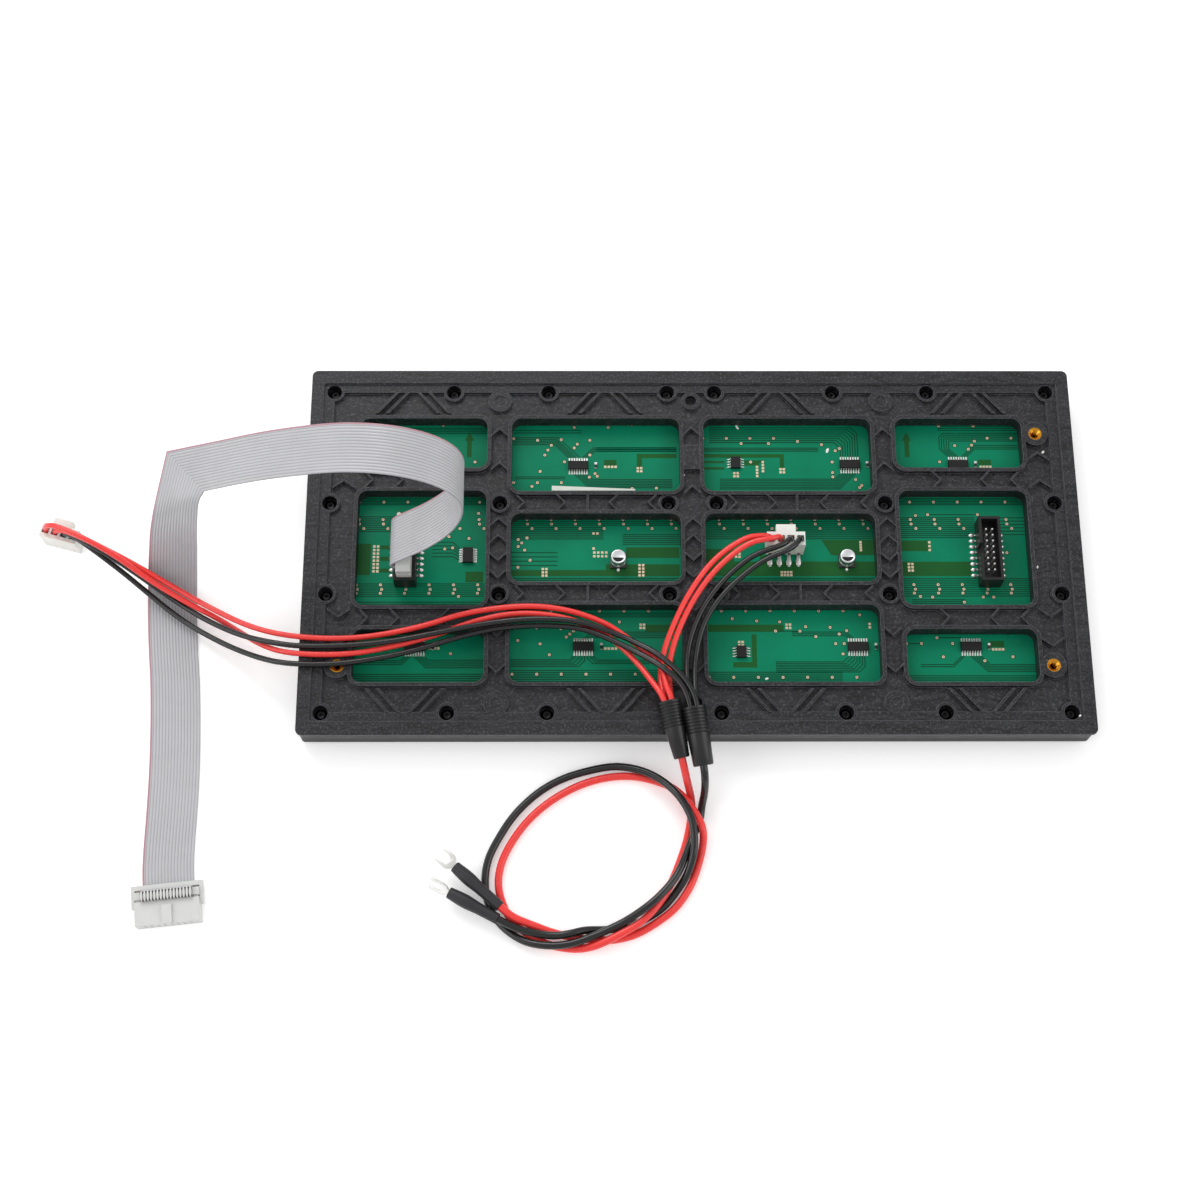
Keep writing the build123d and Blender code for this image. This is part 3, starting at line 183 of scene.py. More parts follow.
# Tracks from one side of a driver chip: chip, side, far end in X, first height, step, corner, legs.
FANS = (
    ((66.9, 39.8), 1, 8, 50.2, 0.97, 2.6, 8), ((66.9, 39.8), -1, 12, 33.4, -0.74, 9, 7),
    ((-47.5, 39.3), 1, -75, 49.2, 0.8, 9, 5), ((-47.5, 39.3), 1, -6, 46.2, 0.75, 9, 3),
    ((-47.5, 39.3), -1, -8, 33.2, -0.74, 9, 6),
    ((112.6, 39.8), 1, 138.6, 47.2, 0.85, 9, 3), ((-113, 39.8), 1, -139, 46.8, 0.9, 2.6, 8),
    ((66.7, -40.9), -1, 33, -47.2, -0.72, 2.4, 7), ((66.7, -40.9), 1, 40, -36.0, 0.8, 9, 3),
    ((-45.4, -40.8), -1, -75, -46.2, -0.74, 2.4, 5), ((-45.4, -40.8), -1, -8, -46.4, -0.74, 2.4, 3),
    ((-45.4, -40.8), 1, -8, -36.8, 0.8, 9, 4), ((112.9, -40.9), -1, 139, -48.4, -0.75, 9, 5),
    ((112.9, -40.9), -1, 92, -48.4, -0.9, 9, 2), ((112.9, -40.9), 1, 98.7, -36.9, 0.4, 9, 1),
    ((-114, -41), -1, -86, -46.4, -0.8, 9, 5), ((-114, -41), -1, -139, -46.6, -0.8, 9, 3),
    ((-114, -41), 1, -139, -36.6, 0.4, 9, 2),
)
# Stray dabs of white lacquer: place, length, width and turn in degrees.
DABS = (
    ((57.8, 46.5, BOARD_TOP), 2.4, 1.2, 70), ((29.1, -54.4, BOARD_TOP), 1.6, 1.0, 20),
    ((19.8, 57.4, BOARD_TOP), 2.6, 0.9, 120),
    ((147.7, 43.5, FLOOR_LEVEL), 1.6, 1.0, 50), ((-3.5, 33.0, FLOOR_LEVEL), 1.2, 0.8, 10),
    ((141.5, -8.0, FLOOR_LEVEL), 1.4, 0.8, 80),
    ((153.5, -72.0, LEDGE_LEVEL), 1.2, 0.8, 30),
)


def placed(start, end):
    """Matrix at start whose Z axis points to end, with X level."""
    axis = (Vector(end) - Vector(start)).normalized()
    across = Vector((0, 0, 1)).cross(axis).normalized()
    turn = Matrix((across, axis.cross(across), axis)).transposed().to_4x4()
    return Matrix.Translation(start) @ turn


def lengths(spans):
    """Length of each span by its name."""
    return {name: (Vector(stop) - Vector(start)).length for name, (start, stop) in spans.items()}


# Axes of the splice boots from their mouths, and of the sleeves from their terminals.
BOOT_SPANS = {"red": ((-11.6, -68.1, 23.0), (-6.4, -90.2, 18.0)),
              "black": ((-1.7, -70.5, 23.0), (2.1, -93.3, 18.0))}
SLEEVE_SPANS = {"red": ((-95.9, -131.0, 6.1), (-77.9, -146.9, 6.1)),
                "black": ((-98.0, -141.3, 6.1), (-78.7, -151.8, 6.1))}
RED_BOOT, BLACK_BOOT = [placed(*span) for span in BOOT_SPANS.values()]
RED_SLEEVE, BLACK_SLEEVE = [placed(*span) for span in SLEEVE_SPANS.values()]
BOOT_LENGTHS, SLEEVE_LENGTHS = lengths(BOOT_SPANS), lengths(SLEEVE_SPANS)
SEATED_PLUG = Matrix.Translation((POWER_X, 2.1, 8.8))
FREE_PLUG = Matrix.Translation((-262.2, 8.0, 0.0)) @ Matrix.Rotation(math.radians(-15), 4, "Z")
LOOSE_SOCKET = Matrix.Translation((-207.3, -153.2, 3.0)) @ Matrix((
    (0, -math.cos(math.radians(6)), -math.sin(math.radians(6)), 0),
    (0, -math.sin(math.radians(6)), math.cos(math.radians(6)), 0),
    (1, 0, 0, 0),
    (0, 0, 0, 1),
))


def boot_entry(boot, across, up):
    """Just outside a boot's mouth, and on the floor of its recess."""
    return [tuple(boot @ Vector((1.35 * across, 1.35 * up, z))) for z in (-1.0, 8.0)]


def plug_exit(plug, chamber, rise):
    """On a contact, and straight above its chamber."""
    return [tuple(plug @ Vector((POWER_PINS[chamber], 0, z))) for z in (8.3, 10.9 + rise)]


# Courses of the eight harness wires between their ends, in the order met.
WIRES = {
    "red_wire_1": plug_exit(SEATED_PLUG, 0, 1.8) + [
        (27.5, 1.9, 23.6), (20.3, 0.8, 24), (7.7, -8.1, 23.5),
        (-2, -21.2, 22), (-9, -35, 20), (-13.6, -47.8, 18.6), (-14.8, -58, 19.8),
    ] + boot_entry(RED_BOOT, -1, -1),
    "red_wire_2": plug_exit(SEATED_PLUG, 1, 2.8) + [
        (31.2, -0.2, 25.8), (21.8, -1.6, 25), (9.6, -11.2, 24),
        (0.4, -22.9, 22), (-6.6, -36.3, 20), (-10.9, -49.9, 18.4), (-11, -59.6, 19.8),
    ] + boot_entry(RED_BOOT, 1, -1),
    "black_wire_1": plug_exit(SEATED_PLUG, 2, 1.8) + [
        (36.2, -2.4, 24), (24.4, -6.2, 24), (15.2, -13.2, 23),
        (8.4, -20.5, 22), (3.3, -27.7, 21), (-0.3, -35, 20), (-2.7, -42.5, 19.5),
        (-3.9, -50.2, 19.2), (-4, -59, 20.2),
    ] + boot_entry(BLACK_BOOT, -1, -1),
    "black_wire_2": plug_exit(SEATED_PLUG, 3, 1.8) + [
        (39.8, -4.2, 24.5), (28, -8.6, 24), (18.4, -15.9, 23),
        (11.4, -22.6, 22), (6.2, -29.4, 21), (2.8, -36, 20), (0.6, -43.5, 19.5),
        (-0.6, -51.2, 19.2), (-1, -60, 20.2),
    ] + boot_entry(BLACK_BOOT, 1, -1),
    "red_wire_3": plug_exit(FREE_PLUG, 1, 2.6) + [
        (-256, 5.8, 18.6), (-235, -3.9, 14.5), (-221.4, -10.6, 9),
        (-198.1, -24.4, 9), (-178.4, -35.4, 14.6), (-158.6, -40, 17.2), (-135.4, -40.2, 17),
        (-111.3, -35.4, 17), (-93.3, -29, 17), (-70.2, -25.8, 17), (-52.3, -27.5, 17),
        (-36.9, -33.2, 17), (-29.3, -38.6, 17), (-22, -44.8, 18.4), (-16.5, -49.8, 21),
        (-13.4, -56, 22.6), (-12.5, -62, 23.6),
    ] + boot_entry(RED_BOOT, 1, 1),
    "red_wire_4": plug_exit(FREE_PLUG, 0, 4.6) + [
        (-260, 7.2, 21.4), (-238.6, -3.2, 19), (-223.5, -12.6, 10),
        (-207.4, -22, 8.2), (-195, -27.9, 6), (-186.6, -33.4, 6.4), (-174.0, -42.5, 12.6),
        (-161.6, -46.8, 17.2), (-140.3, -47, 17), (-123.3, -43.9, 16.8), (-105.3, -38.9, 17),
        (-87.2, -31.8, 17), (-70.2, -28.8, 17), (-52, -31, 17), (-38.5, -37.1, 17),
        (-30.8, -42.8, 17.2), (-23.2, -51.4, 18.5), (-17.7, -60.4, 22.1),
    ] + boot_entry(RED_BOOT, -1, 1),
    "black_wire_3": plug_exit(FREE_PLUG, 2, 2.4) + [
        (-252.5, 4, 15.5), (-235.4, -5.4, 11.4), (-219, -16.1, 6),
        (-208.7, -23, 5.2), (-198.1, -29.9, 7.4), (-184.6, -37, 11.6), (-172.1, -41.2, 15.6),
        (-159.5, -43.5, 17), (-140, -43.5, 18.2), (-123.2, -42.3, 19.4), (-111.1, -40, 19.7),
        (-99.1, -37.4, 19.6), (-78.9, -33.6, 19.6), (-62.8, -32.5, 20), (-46.3, -33.9, 20.5),
        (-31, -39.6, 19.8), (-22.5, -44.2, 21.4), (-15.5, -48.8, 23.8), (-6.5, -57.5, 25),
        (-2, -64.5, 24.9),
    ] + boot_entry(BLACK_BOOT, 1, 1),
    "black_wire_4": plug_exit(FREE_PLUG, 3, 1.4) + [
        (-249.2, 1.6, 12.2), (-235.3, -8.2, 8), (-224, -17.1, 4.5),
        (-213.9, -25.2, 3.6), (-203.5, -32.3, 4.2), (-190.4, -40, 7), (-177, -46.6, 12),
        (-165.2, -50.6, 16.5), (-147.1, -51.2, 17), (-129.2, -48.9, 17), (-112.2, -45, 17),
        (-93.2, -38.8, 17.2), (-79, -35.6, 17.4), (-62.8, -34.6, 17.6), (-46.3, -36, 18.6),
        (-33.8, -41.6, 19.5), (-23, -47.8, 21.3), (-14.5, -54.2, 25.2), (-6.2, -61.5, 25.4),
    ] + boot_entry(BLACK_BOOT, -1, 1),
}


def lead_ends(boot, boot_length, sleeve, sleeve_length):
    """First and last two points of a supply lead, on the axes of its boot and its sleeve."""
    start = [tuple(boot @ Vector((0, 0, boot_length + run))) for run in (0, 3.2)]
    stop = [tuple(sleeve @ Vector((0, 0, sleeve_length + run))) for run in (4.0, 0)]
    return start, stop


RED_START, RED_STOP = lead_ends(RED_BOOT, BOOT_LENGTHS["red"], RED_SLEEVE, SLEEVE_LENGTHS["red"])
BLACK_START, BLACK_STOP = lead_ends(BLACK_BOOT, BOOT_LENGTHS["black"], BLACK_SLEEVE, SLEEVE_LENGTHS["black"])
LEADS = {
    "red_lead": RED_START + [
        (-4.4, -97.2, 12.6), (-3.3, -99.8, 7.4), (-2.2, -102.8, 3.2), (-1.9, -108.2, 1.6),
        (-4.1, -120.3, 1.6), (-9.2, -133.8, 1.6), (-12.2, -140, 3.6), (-15.2, -144.8, 4.7),
        (-19.6, -150, 5), (-24.6, -154.2, 5.1), (-30.5, -157.4, 5.2), (-36.5, -160.4, 4.9),
        (-42, -162.4, 3.4), (-49.1, -163, 1.7), (-58.5, -161.4, 1.6), (-66, -158, 1.6),
        (-71.6, -153.6, 1.6), (-76.1, -148.2, 1.6), (-79.7, -136.9, 1.6), (-76.7, -124.1, 1.6),
        (-65.2, -107.9, 1.6), (-46.7, -96.1, 1.6), (-27.5, -92.4, 1.6), (-11.5, -96.9, 2.4),
        (-5.6, -102.5, 6.2), (-1, -108.9, 5.8), (2.3, -115.7, 6.2), (2.2, -122.2, 3.2),
        (0, -130.6, 1.6), (-3.4, -139.2, 1.6), (-9.2, -147.2, 1.6), (-16.7, -152.7, 1.6),
        (-24.2, -157.1, 1.6), (-32.3, -159.3, 1.6), (-41, -159.4, 1.6), (-49.2, -158.3, 1.6),
        (-57.3, -156.5, 1.8), (-64.7, -153.9, 3.4), (-71.6, -151.6, 5.4),
    ] + RED_STOP,
    "black_lead": BLACK_START + [
        (2.9, -100.2, 12.4), (2.7, -102.8, 7.2), (1.9, -106, 3), (1.3, -111.6, 1.8),
        (-1.6, -118.2, 4.7), (-4.4, -125.4, 5), (-7.7, -133.2, 4.9), (-12.2, -139.6, 6.9),
        (-17.9, -145.4, 7.9), (-24.9, -150.4, 6.8), (-32.3, -154.5, 5.4), (-47.3, -160.7, 4.9),
        (-54.7, -162.1, 5.1), (-62.2, -161.8, 4.6), (-69.1, -159.9, 3.2), (-76, -155.2, 1.8),
        (-80.8, -149.5, 1.6), (-83.4, -143.2, 1.6), (-84.3, -136.9, 1.6), (-83.8, -129.8, 1.6),
        (-81.5, -122.8, 1.6), (-72.2, -107.3, 1.6), (-56.9, -94.9, 1.6), (-36.4, -89.3, 2),
        (-26.8, -90.2, 3.8), (-18.6, -93.2, 5.5), (-11.7, -98, 6.8), (-6.1, -104.7, 8.9),
        (-2.4, -111.9, 8.4), (-1.3, -119.7, 8), (-1.7, -126.5, 7.2), (-4.5, -134.4, 3.7),
        (-8.8, -140.5, 1.7), (-13.6, -146.5, 1.6), (-21, -151.3, 1.6), (-28.8, -154.5, 1.6),
        (-37.3, -155.4, 1.6), (-44.5, -155.5, 3.2), (-50.2, -157.3, 5), (-56.5, -158.3, 5),
        (-62.8, -157.5, 4.9), (-69.6, -156, 5.4),
    ] + BLACK_STOP,
}

# Stations of the ribbon's middle, and the direction of its red edge at each.
RIBBON_LOOP = [
    (-115.5, -1.0, 20.15), (-121.8, -1.0, 20.15), (-123.1, -1.0, 20.9), (-123.6, -1.0, 22.8),
    (-122.6, -1.0, 25.2), (-119.8, -1.0, 28.6), (-114.6, -0.6, 33.2), (-108.4, 0.0, 38.6),
    (-99.6, 1.2, 48.8), (-94.0, 2.3, 59.6), (-91.4, 3.2, 70.4), (-92.0, 4.2, 79.6),
    (-97.0, 5.2, 88.0), (-105.4, 6.5, 93.6), (-117.6, 8.0, 96.4), (-130.6, 9.5, 95.2),
    (-141.6, 10.8, 91.6), (-153.6, 12.0, 86.0), (-165.2, 13.4, 79.4), (-175.6, 14.6, 72.6),
    (-184.4, 15.8, 65.8),
]
FOLD_MIDDLE = (-203.2, 18.6, 51.0)
FOLD_WEST = (-0.92, 0.08, -0.38)
RIBBON_FALL = [
    ((-207.0, 6.0, 46.6), (-0.93, 0.0, -0.36)), ((-208.6, 2.2, 40.0), (-0.95, 0.05, -0.28)),
    ((-210.6, -0.2, 31.0), (-0.97, 0.05, -0.2)), ((-212.6, -2.0, 20.0), (-0.98, 0.03, -0.12)),
    ((-214.4, -4.6, 10.6), (-1, 0, -0.06)), ((-215.4, -9.2, 4.2), (-1, 0, -0.02)),
    ((-215.6, -15.6, 1.2), (-1, 0, 0)), ((-215.2, -24.0, 0.5), (-1, 0.03, 0)),
    ((-214.0, -38.0, 0.5), (-1, 0.05, 0)), ((-211.9, -55.0, 0.5), (-1, 0.07, 0)),
    ((-210.3, -78.0, 0.5), (-1, 0.05, 0)), ((-209.6, -100.0, 0.5), (-1, -0.03, 0)),
]
SOCKET_TURN = [
    (-2.5, 25.3), (-2.5, 15.2), (-2.35, 14.15), (-1.9, 13.75), (2.5, 13.76), (3.35, 13.7),
    (3.75, 12.9), (3.75, 10.8), (3.35, 9.9), (2.5, 9.85), (-2.9, 9.85),
]


class CordSettings(bpy.types.PropertyGroup):
    """Sizes of the harness wires, the leads and the ribbon."""

    wire_diameter: FloatProperty(
        name="Wire diameter", description="Outside of a harness wire", default=0.0023, unit="LENGTH")
    lead_diameter: FloatProperty(
        name="Lead diameter", description="Outside of a supply lead", default=0.0031, unit="LENGTH")
    ribbon_width: FloatProperty(
        name="Ribbon width", description="Across its sixteen conductors", default=0.0203, unit="LENGTH")
    ribbon_ridge: FloatProperty(
        name="Ribbon thickness", description="Over a conductor", default=0.0009, unit="LENGTH")
    ribbon_groove: FloatProperty(
        name="Groove thickness", description="Between two conductors", default=0.00045, unit="LENGTH")
    conductors: IntProperty(name="Conductors", description="In the ribbon", default=16, min=2)
    red: FloatVectorProperty(
        name="Red insulation", description="Positive wires", subtype="COLOR", size=4,
        default=linear("F03A36"))
    black: FloatVectorProperty(
        name="Black insulation", description="Return wires", subtype="COLOR", size=4,
        default=linear("141416"))
    grey: FloatVectorProperty(
        name="Ribbon grey", description="Ribbon insulation", subtype="COLOR", size=4,
        default=linear("BABABD"))
    edge: FloatVectorProperty(
        name="Ribbon edge", description="First conductor's mark", subtype="COLOR", size=4,
        default=linear("A97C86"))


class BoardSettings(bpy.types.PropertyGroup):
    """Sizes and colours of the printed board."""

    via_radius: FloatProperty(
        name="Via radius", description="Outside of a via's bare ring", default=0.00062, unit="LENGTH")
    track_width: FloatProperty(
        name="Track width", description="Of a signal track", default=0.00042, unit="LENGTH")
    mask: FloatVectorProperty(
        name="Solder mask", description="Over bare laminate", subtype="COLOR", size=4,
        default=linear("008560"))
    copper: FloatVectorProperty(
        name="Masked copper", description="Pours under the mask", subtype="COLOR", size=4,
        default=linear("1D5E2A"))
    track: FloatVectorProperty(
        name="Masked track", description="Thin tracks under the mask", subtype="COLOR", size=4,
        default=linear("07492F"))


class StageSettings(bpy.types.PropertyGroup):
    """Floor and lights."""

    floor: FloatVectorProperty(
        name="Floor", description="Pale floor", subtype="COLOR", size=4, default=linear("F6F6F6"))
    key_power: FloatProperty(
        name="Back light", description="Power of the soft box behind the module", default=13.0, unit="POWER")
    fill_power: FloatProperty(
        name="Side light", description="Power of each side soft box", default=6.0, unit="POWER")
    ambience: FloatProperty(name="Ambience", description="White light from all round", default=0.7, min=0.0)
    glow: FloatProperty(name="Floor glow", description="Light that the floor gives of its own",
                        default=0.25, min=0.0)


# Materials


def add(tree, kind, inputs=None, **properties):
    """Add a shader node with its properties, input values and links."""
    node = tree.nodes.new("ShaderNode" + kind)
    for name, value in properties.items():
        setattr(node, name, value)
    for key, value in (inputs or {}).items():
        if isinstance(value, bpy.types.NodeSocket):
            tree.links.new(value, node.inputs[key])
        else:
            node.inputs[key].default_value = value
    return node


def new_material(name, **sockets):
    """Material with one shader; sockets are set on it by name."""
    material = bpy.data.materials.new(name)
    material.use_nodes = True
    tree = material.node_tree
    shader = tree.nodes["Principled BSDF"]
    for key, value in sockets.items():
        shader.inputs[key.replace("_", " ")].default_value = value
    return material, tree, shader


def cells_per_metre(size_mm):
    """Texture scale whose cells are this many millimetres across."""
    return 1000.0 / size_mm


def eased(tree, radius_mm):
    """Normal of a surface whose sharp edges are rounded to this radius."""
    return add(tree, "Bevel", {"Radius": radius_mm * MM}, samples=6).outputs[0]


def textured(name, colour, worn, grain_mm, bump, rough, spread, edge_mm=0.1, **sockets):
    """Moulded or coated surface: mottled colour, fine grain, an uneven sheen and eased edges."""
    material, tree, shader = new_material(name, Roughness=rough, **sockets)
    place = add(tree, "TexCoord")
    broad = add(tree, "TexNoise", {
        "Vector": place.outputs["Object"], "Scale": cells_per_metre(grain_mm * 14), "Detail": 4.0,
        "Roughness": 0.6})
    fine = add(tree, "TexNoise", {
        "Vector": place.outputs["Object"], "Scale": cells_per_metre(grain_mm), "Detail": 2.0,
        "Roughness": 0.55})
    tone = add(tree, "Mix", {0: broad.outputs[0], 6: colour, 7: worn}, data_type="RGBA")
    tree.links.new(tone.outputs[2], shader.inputs["Base Color"])
    sheen = add(tree, "MapRange",
                {"Value": broad.outputs[0], 1: 0.3, 2: 0.7, 3: rough - spread, 4: rough + spread})
    tree.links.new(sheen.outputs[0], shader.inputs["Roughness"])
    relief = add(tree, "Bump", {
        "Strength": 1.0, "Distance": bump * MM, "Height": fine.outputs[0], "Normal": eased(tree, edge_mm)})
    tree.links.new(relief.outputs[0], shader.inputs["Normal"])
    return material


def frame_plastic():
    """Black moulded polycarbonate: spark-eroded grain, flow streaks, and a painted highlight lightening its
    edges.
    """
    material, tree, shader = new_material("moulded_black_polycarbonate", IOR=1.58, Specular_IOR_Level=0.3)
    place = add(tree, "TexCoord")
    # flow streaks some 1.2 mm wide and many times longer, bent by a broad swirl
    swirl = add(tree, "TexNoise",
                {"Vector": place.outputs["Object"], "Scale": cells_per_metre(26.0), "Detail": 2.0})
    bent = add(tree, "VectorMath", {0: swirl.outputs[1], 1: (0.014, 0.014, 0.0), 2: place.outputs["Object"]},
               operation="MULTIPLY_ADD")
    long = add(tree, "Mapping", {"Vector": bent.outputs[0], "Scale": (0.14, 1.0, 1.0)})
    streak = add(tree, "TexNoise", {"Vector": long.outputs[0], "Scale": cells_per_metre(1.6), "Detail": 3.0})
    # grain of 0.3 mm, drawn at 0.9 mm so that it shows
    grain = add(tree, "TexNoise", {
        "Vector": place.outputs["Object"], "Scale": cells_per_metre(0.9), "Detail": 3.0, "Roughness": 0.7})
    flow = add(tree, "MapRange", {"Value": streak.outputs[0], 1: 0.35, 2: 0.65, 3: 0.0, 4: 1.0})
    tone = add(tree, "Mix", {0: flow.outputs[0], 6: linear("0B0B0D"), 7: linear("242428")}, data_type="RGBA")
    specks = add(tree, "MapRange", {"Value": grain.outputs[0], 1: 0.52, 2: 0.72, 3: 0.0, 4: 0.8})
    sandy = add(tree, "Mix", {0: specks.outputs[0], 6: tone.outputs[2], 7: linear("55555A")},
                data_type="RGBA")
    # edges within 0.35 mm, lightened in the colour as a painted highlight
    rounded = eased(tree, 0.35)
    true_face = add(tree, "NewGeometry")
    turned = add(tree, "VectorMath", {0: rounded, 1: true_face.outputs["True Normal"]},
                 operation="DOT_PRODUCT")
    edge_lit_weight = add(tree, "MapRange", {"Value": turned.outputs["Value"], 1: 0.99, 2: 0.8, 3: 0.0, 4: 0.7})
    edge_lit_colour = add(tree, "Mix", {0: edge_lit_weight.outputs[0], 6: sandy.outputs[2], 7: linear("7A7A80")}, data_type="RGBA")
    tree.links.new(edge_lit_colour.outputs[2], shader.inputs["Base Color"])
    sheen = add(tree, "MapRange", {"Value": streak.outputs[0], 1: 0.3, 2: 0.7, 3: 0.38, 4: 0.55})
    tree.links.new(sheen.outputs[0], shader.inputs["Roughness"])
    height = add(tree, "Math", {0: grain.outputs[0], 1: streak.outputs[0]}, operation="ADD")
    relief = add(tree, "Bump",
                 {"Strength": 1.0, "Distance": 0.12 * MM, "Height": height.outputs[0], "Normal": rounded})
    tree.links.new(relief.outputs[0], shader.inputs["Normal"])
    return material


def mask_plastic():
    """Black moulded polycarbonate of the front: matt, with fine level tool lines up its sides."""
    material, tree, shader = new_material("moulded_black_polycarbonate_ribbed", IOR=1.58,
                                          Specular_IOR_Level=0.3)
    place = add(tree, "TexCoord")
    lines = add(tree, "TexWave", {
        "Vector": place.outputs["Object"], "Scale": cells_per_metre(0.9) / 6.28, "Distortion": 1.2,
        "Detail": 2.0, "Detail Scale": 40.0}, bands_direction="Z")
    tone = add(tree, "Mix", {0: lines.outputs["Fac"], 6: linear("0C0C0E"), 7: linear("242428")},
               data_type="RGBA")
    tree.links.new(tone.outputs[2], shader.inputs["Base Color"])
    sheen = add(tree, "MapRange", {"Value": lines.outputs["Fac"], 1: 0.0, 2: 1.0, 3: 0.45, 4: 0.62})
    tree.links.new(sheen.outputs[0], shader.inputs["Roughness"])
    relief = add(tree, "Bump", {
        "Strength": 1.0, "Distance": 0.08 * MM, "Height": lines.outputs["Fac"], "Normal": eased(tree, 0.2)})
    tree.links.new(relief.outputs[0], shader.inputs["Normal"])
    return material


def package_faces():
    """White-bodied LED packages: a clear epoxy dome colour inside a black printed rim."""
    material, tree, shader = new_material("moulded_led_package", Roughness=0.35, IOR=1.54)
    place = add(tree, "TexCoord")
    half_pitch = 5.0 * MM
    cell = add(tree, "VectorMath", {
        0: place.outputs["Object"], 1: (half_pitch, half_pitch, 1.0), 2: (-half_pitch, -half_pitch, -1.0)},
        operation="WRAP")
    shifted = add(tree, "VectorMath", {0: cell.outputs[0]}, operation="ABSOLUTE")
    middle = add(tree, "VectorMath", {
        0: shifted.outputs[0], 1: (half_pitch, half_pitch, 0.0)}, operation="SUBTRACT")
    flat = add(tree, "VectorMath", {0: middle.outputs[0], 1: (1, 1, 0)}, operation="MULTIPLY")
    reach = add(tree, "VectorMath", {0: flat.outputs[0]}, operation="LENGTH")
    rim = add(tree, "MapRange", {"Value": reach.outputs["Value"], 1: 0.00125, 2: 0.00135, 3: 0.0, 4: 1.0})
    tone = add(tree, "Mix", {0: rim.outputs[0], 6: linear("D9D3C0"), 7: linear("161617")}, data_type="RGBA")
    tree.links.new(tone.outputs[2], shader.inputs["Base Color"])
    return material


def solder_mask(colour, name):
    """FR-4 laminate under green mask: slight cloudiness from the glass weave beneath."""
    material, tree, shader = new_material(name, IOR=1.52, Specular_IOR_Level=0.12)
    place = add(tree, "TexCoord")
    cloud = add(tree, "TexNoise",
                {"Vector": place.outputs["Object"], "Scale": cells_per_metre(18.0), "Detail": 3.0})
    # glass weave of 0.5 mm yarns, drawn as 1 mm checks so that it shows
    weave = add(tree, "TexNoise",
                {"Vector": place.outputs["Object"], "Scale": cells_per_metre(1.0), "Detail": 1.0})
    dark = tuple(c * 0.62 for c in colour[:3]) + (1.0,)
    tone = add(tree, "Mix", {0: cloud.outputs[0], 6: dark, 7: colour}, data_type="RGBA")
    tree.links.new(tone.outputs[2], shader.inputs["Base Color"])
    sheen = add(tree, "MapRange", {"Value": weave.outputs[0], 1: 0.3, 2: 0.7, 3: 0.34, 4: 0.46})
    tree.links.new(sheen.outputs[0], shader.inputs["Roughness"])
    relief = add(tree, "Bump", {"Strength": 1.0, "Distance": 0.01 * MM, "Height": weave.outputs[0]})
    tree.links.new(relief.outputs[0], shader.inputs["Normal"])
    return material


def metal(name, colour, worn, rough, grain_mm=0.25, bump=0.01, metallic=1.0):
    """Bare metal: default IOR, tone and polish varying over its grain."""
    return textured(name, colour, worn, grain_mm, bump, rough, 0.08, Metallic=metallic)


def ribbon_grey(settings):
    """Extruded grey PVC: soft ridges, painted shade darkening the grooves, first conductor marked pink-red.
    """
    material, tree, shader = new_material("extruded_grey_pvc", IOR=1.53)
    across = add(tree, "UVMap", uv_map="across")
    split = add(tree, "SeparateXYZ", {0: across.outputs[0]})
    steps = add(tree, "Math", {0: split.outputs[0], 1: float(settings.conductors)}, operation="MULTIPLY")
    cell = add(tree, "Math", {0: steps.outputs[0]}, operation="FRACT")
    off = add(tree, "Math", {0: cell.outputs[0], 1: 0.5}, operation="SUBTRACT")
    out = add(tree, "Math", {0: off.outputs[0]}, operation="ABSOLUTE")
    groove = add(tree, "MapRange", {"Value": out.outputs[0], 1: 0.26, 2: 0.5, 3: 0.0, 4: 1.0})
    place = add(tree, "TexCoord")
    cloud = add(tree, "TexNoise",
                {"Vector": place.outputs["Object"], "Scale": cells_per_metre(9.0), "Detail": 2.0})
    grey = tuple(settings.grey)
    darker = tuple(c * 0.85 for c in grey[:3]) + (1.0,)
    body = add(tree, "Mix", {0: cloud.outputs[0], 6: grey, 7: darker}, data_type="RGBA")
    # darker grey in the grooves between conductors: painted shade
    groove_shade = add(tree, "Mix", {0: groove.outputs[0], 6: body.outputs[2], 7: linear("9A9AA0")}, data_type="RGBA")
    marked = add(tree, "Math", {0: split.outputs[0], 1: 0.962}, operation="GREATER_THAN")
    tone = add(tree, "Mix", {0: marked.outputs[0], 6: groove_shade.outputs[2], 7: tuple(settings.edge)},
               data_type="RGBA")
    tree.links.new(tone.outputs[2], shader.inputs["Base Color"])
    sheen = add(tree, "MapRange", {"Value": cloud.outputs[0], 1: 0.3, 2: 0.7, 3: 0.34, 4: 0.5})
    tree.links.new(sheen.outputs[0], shader.inputs["Roughness"])
    return material


FINISHES = {}


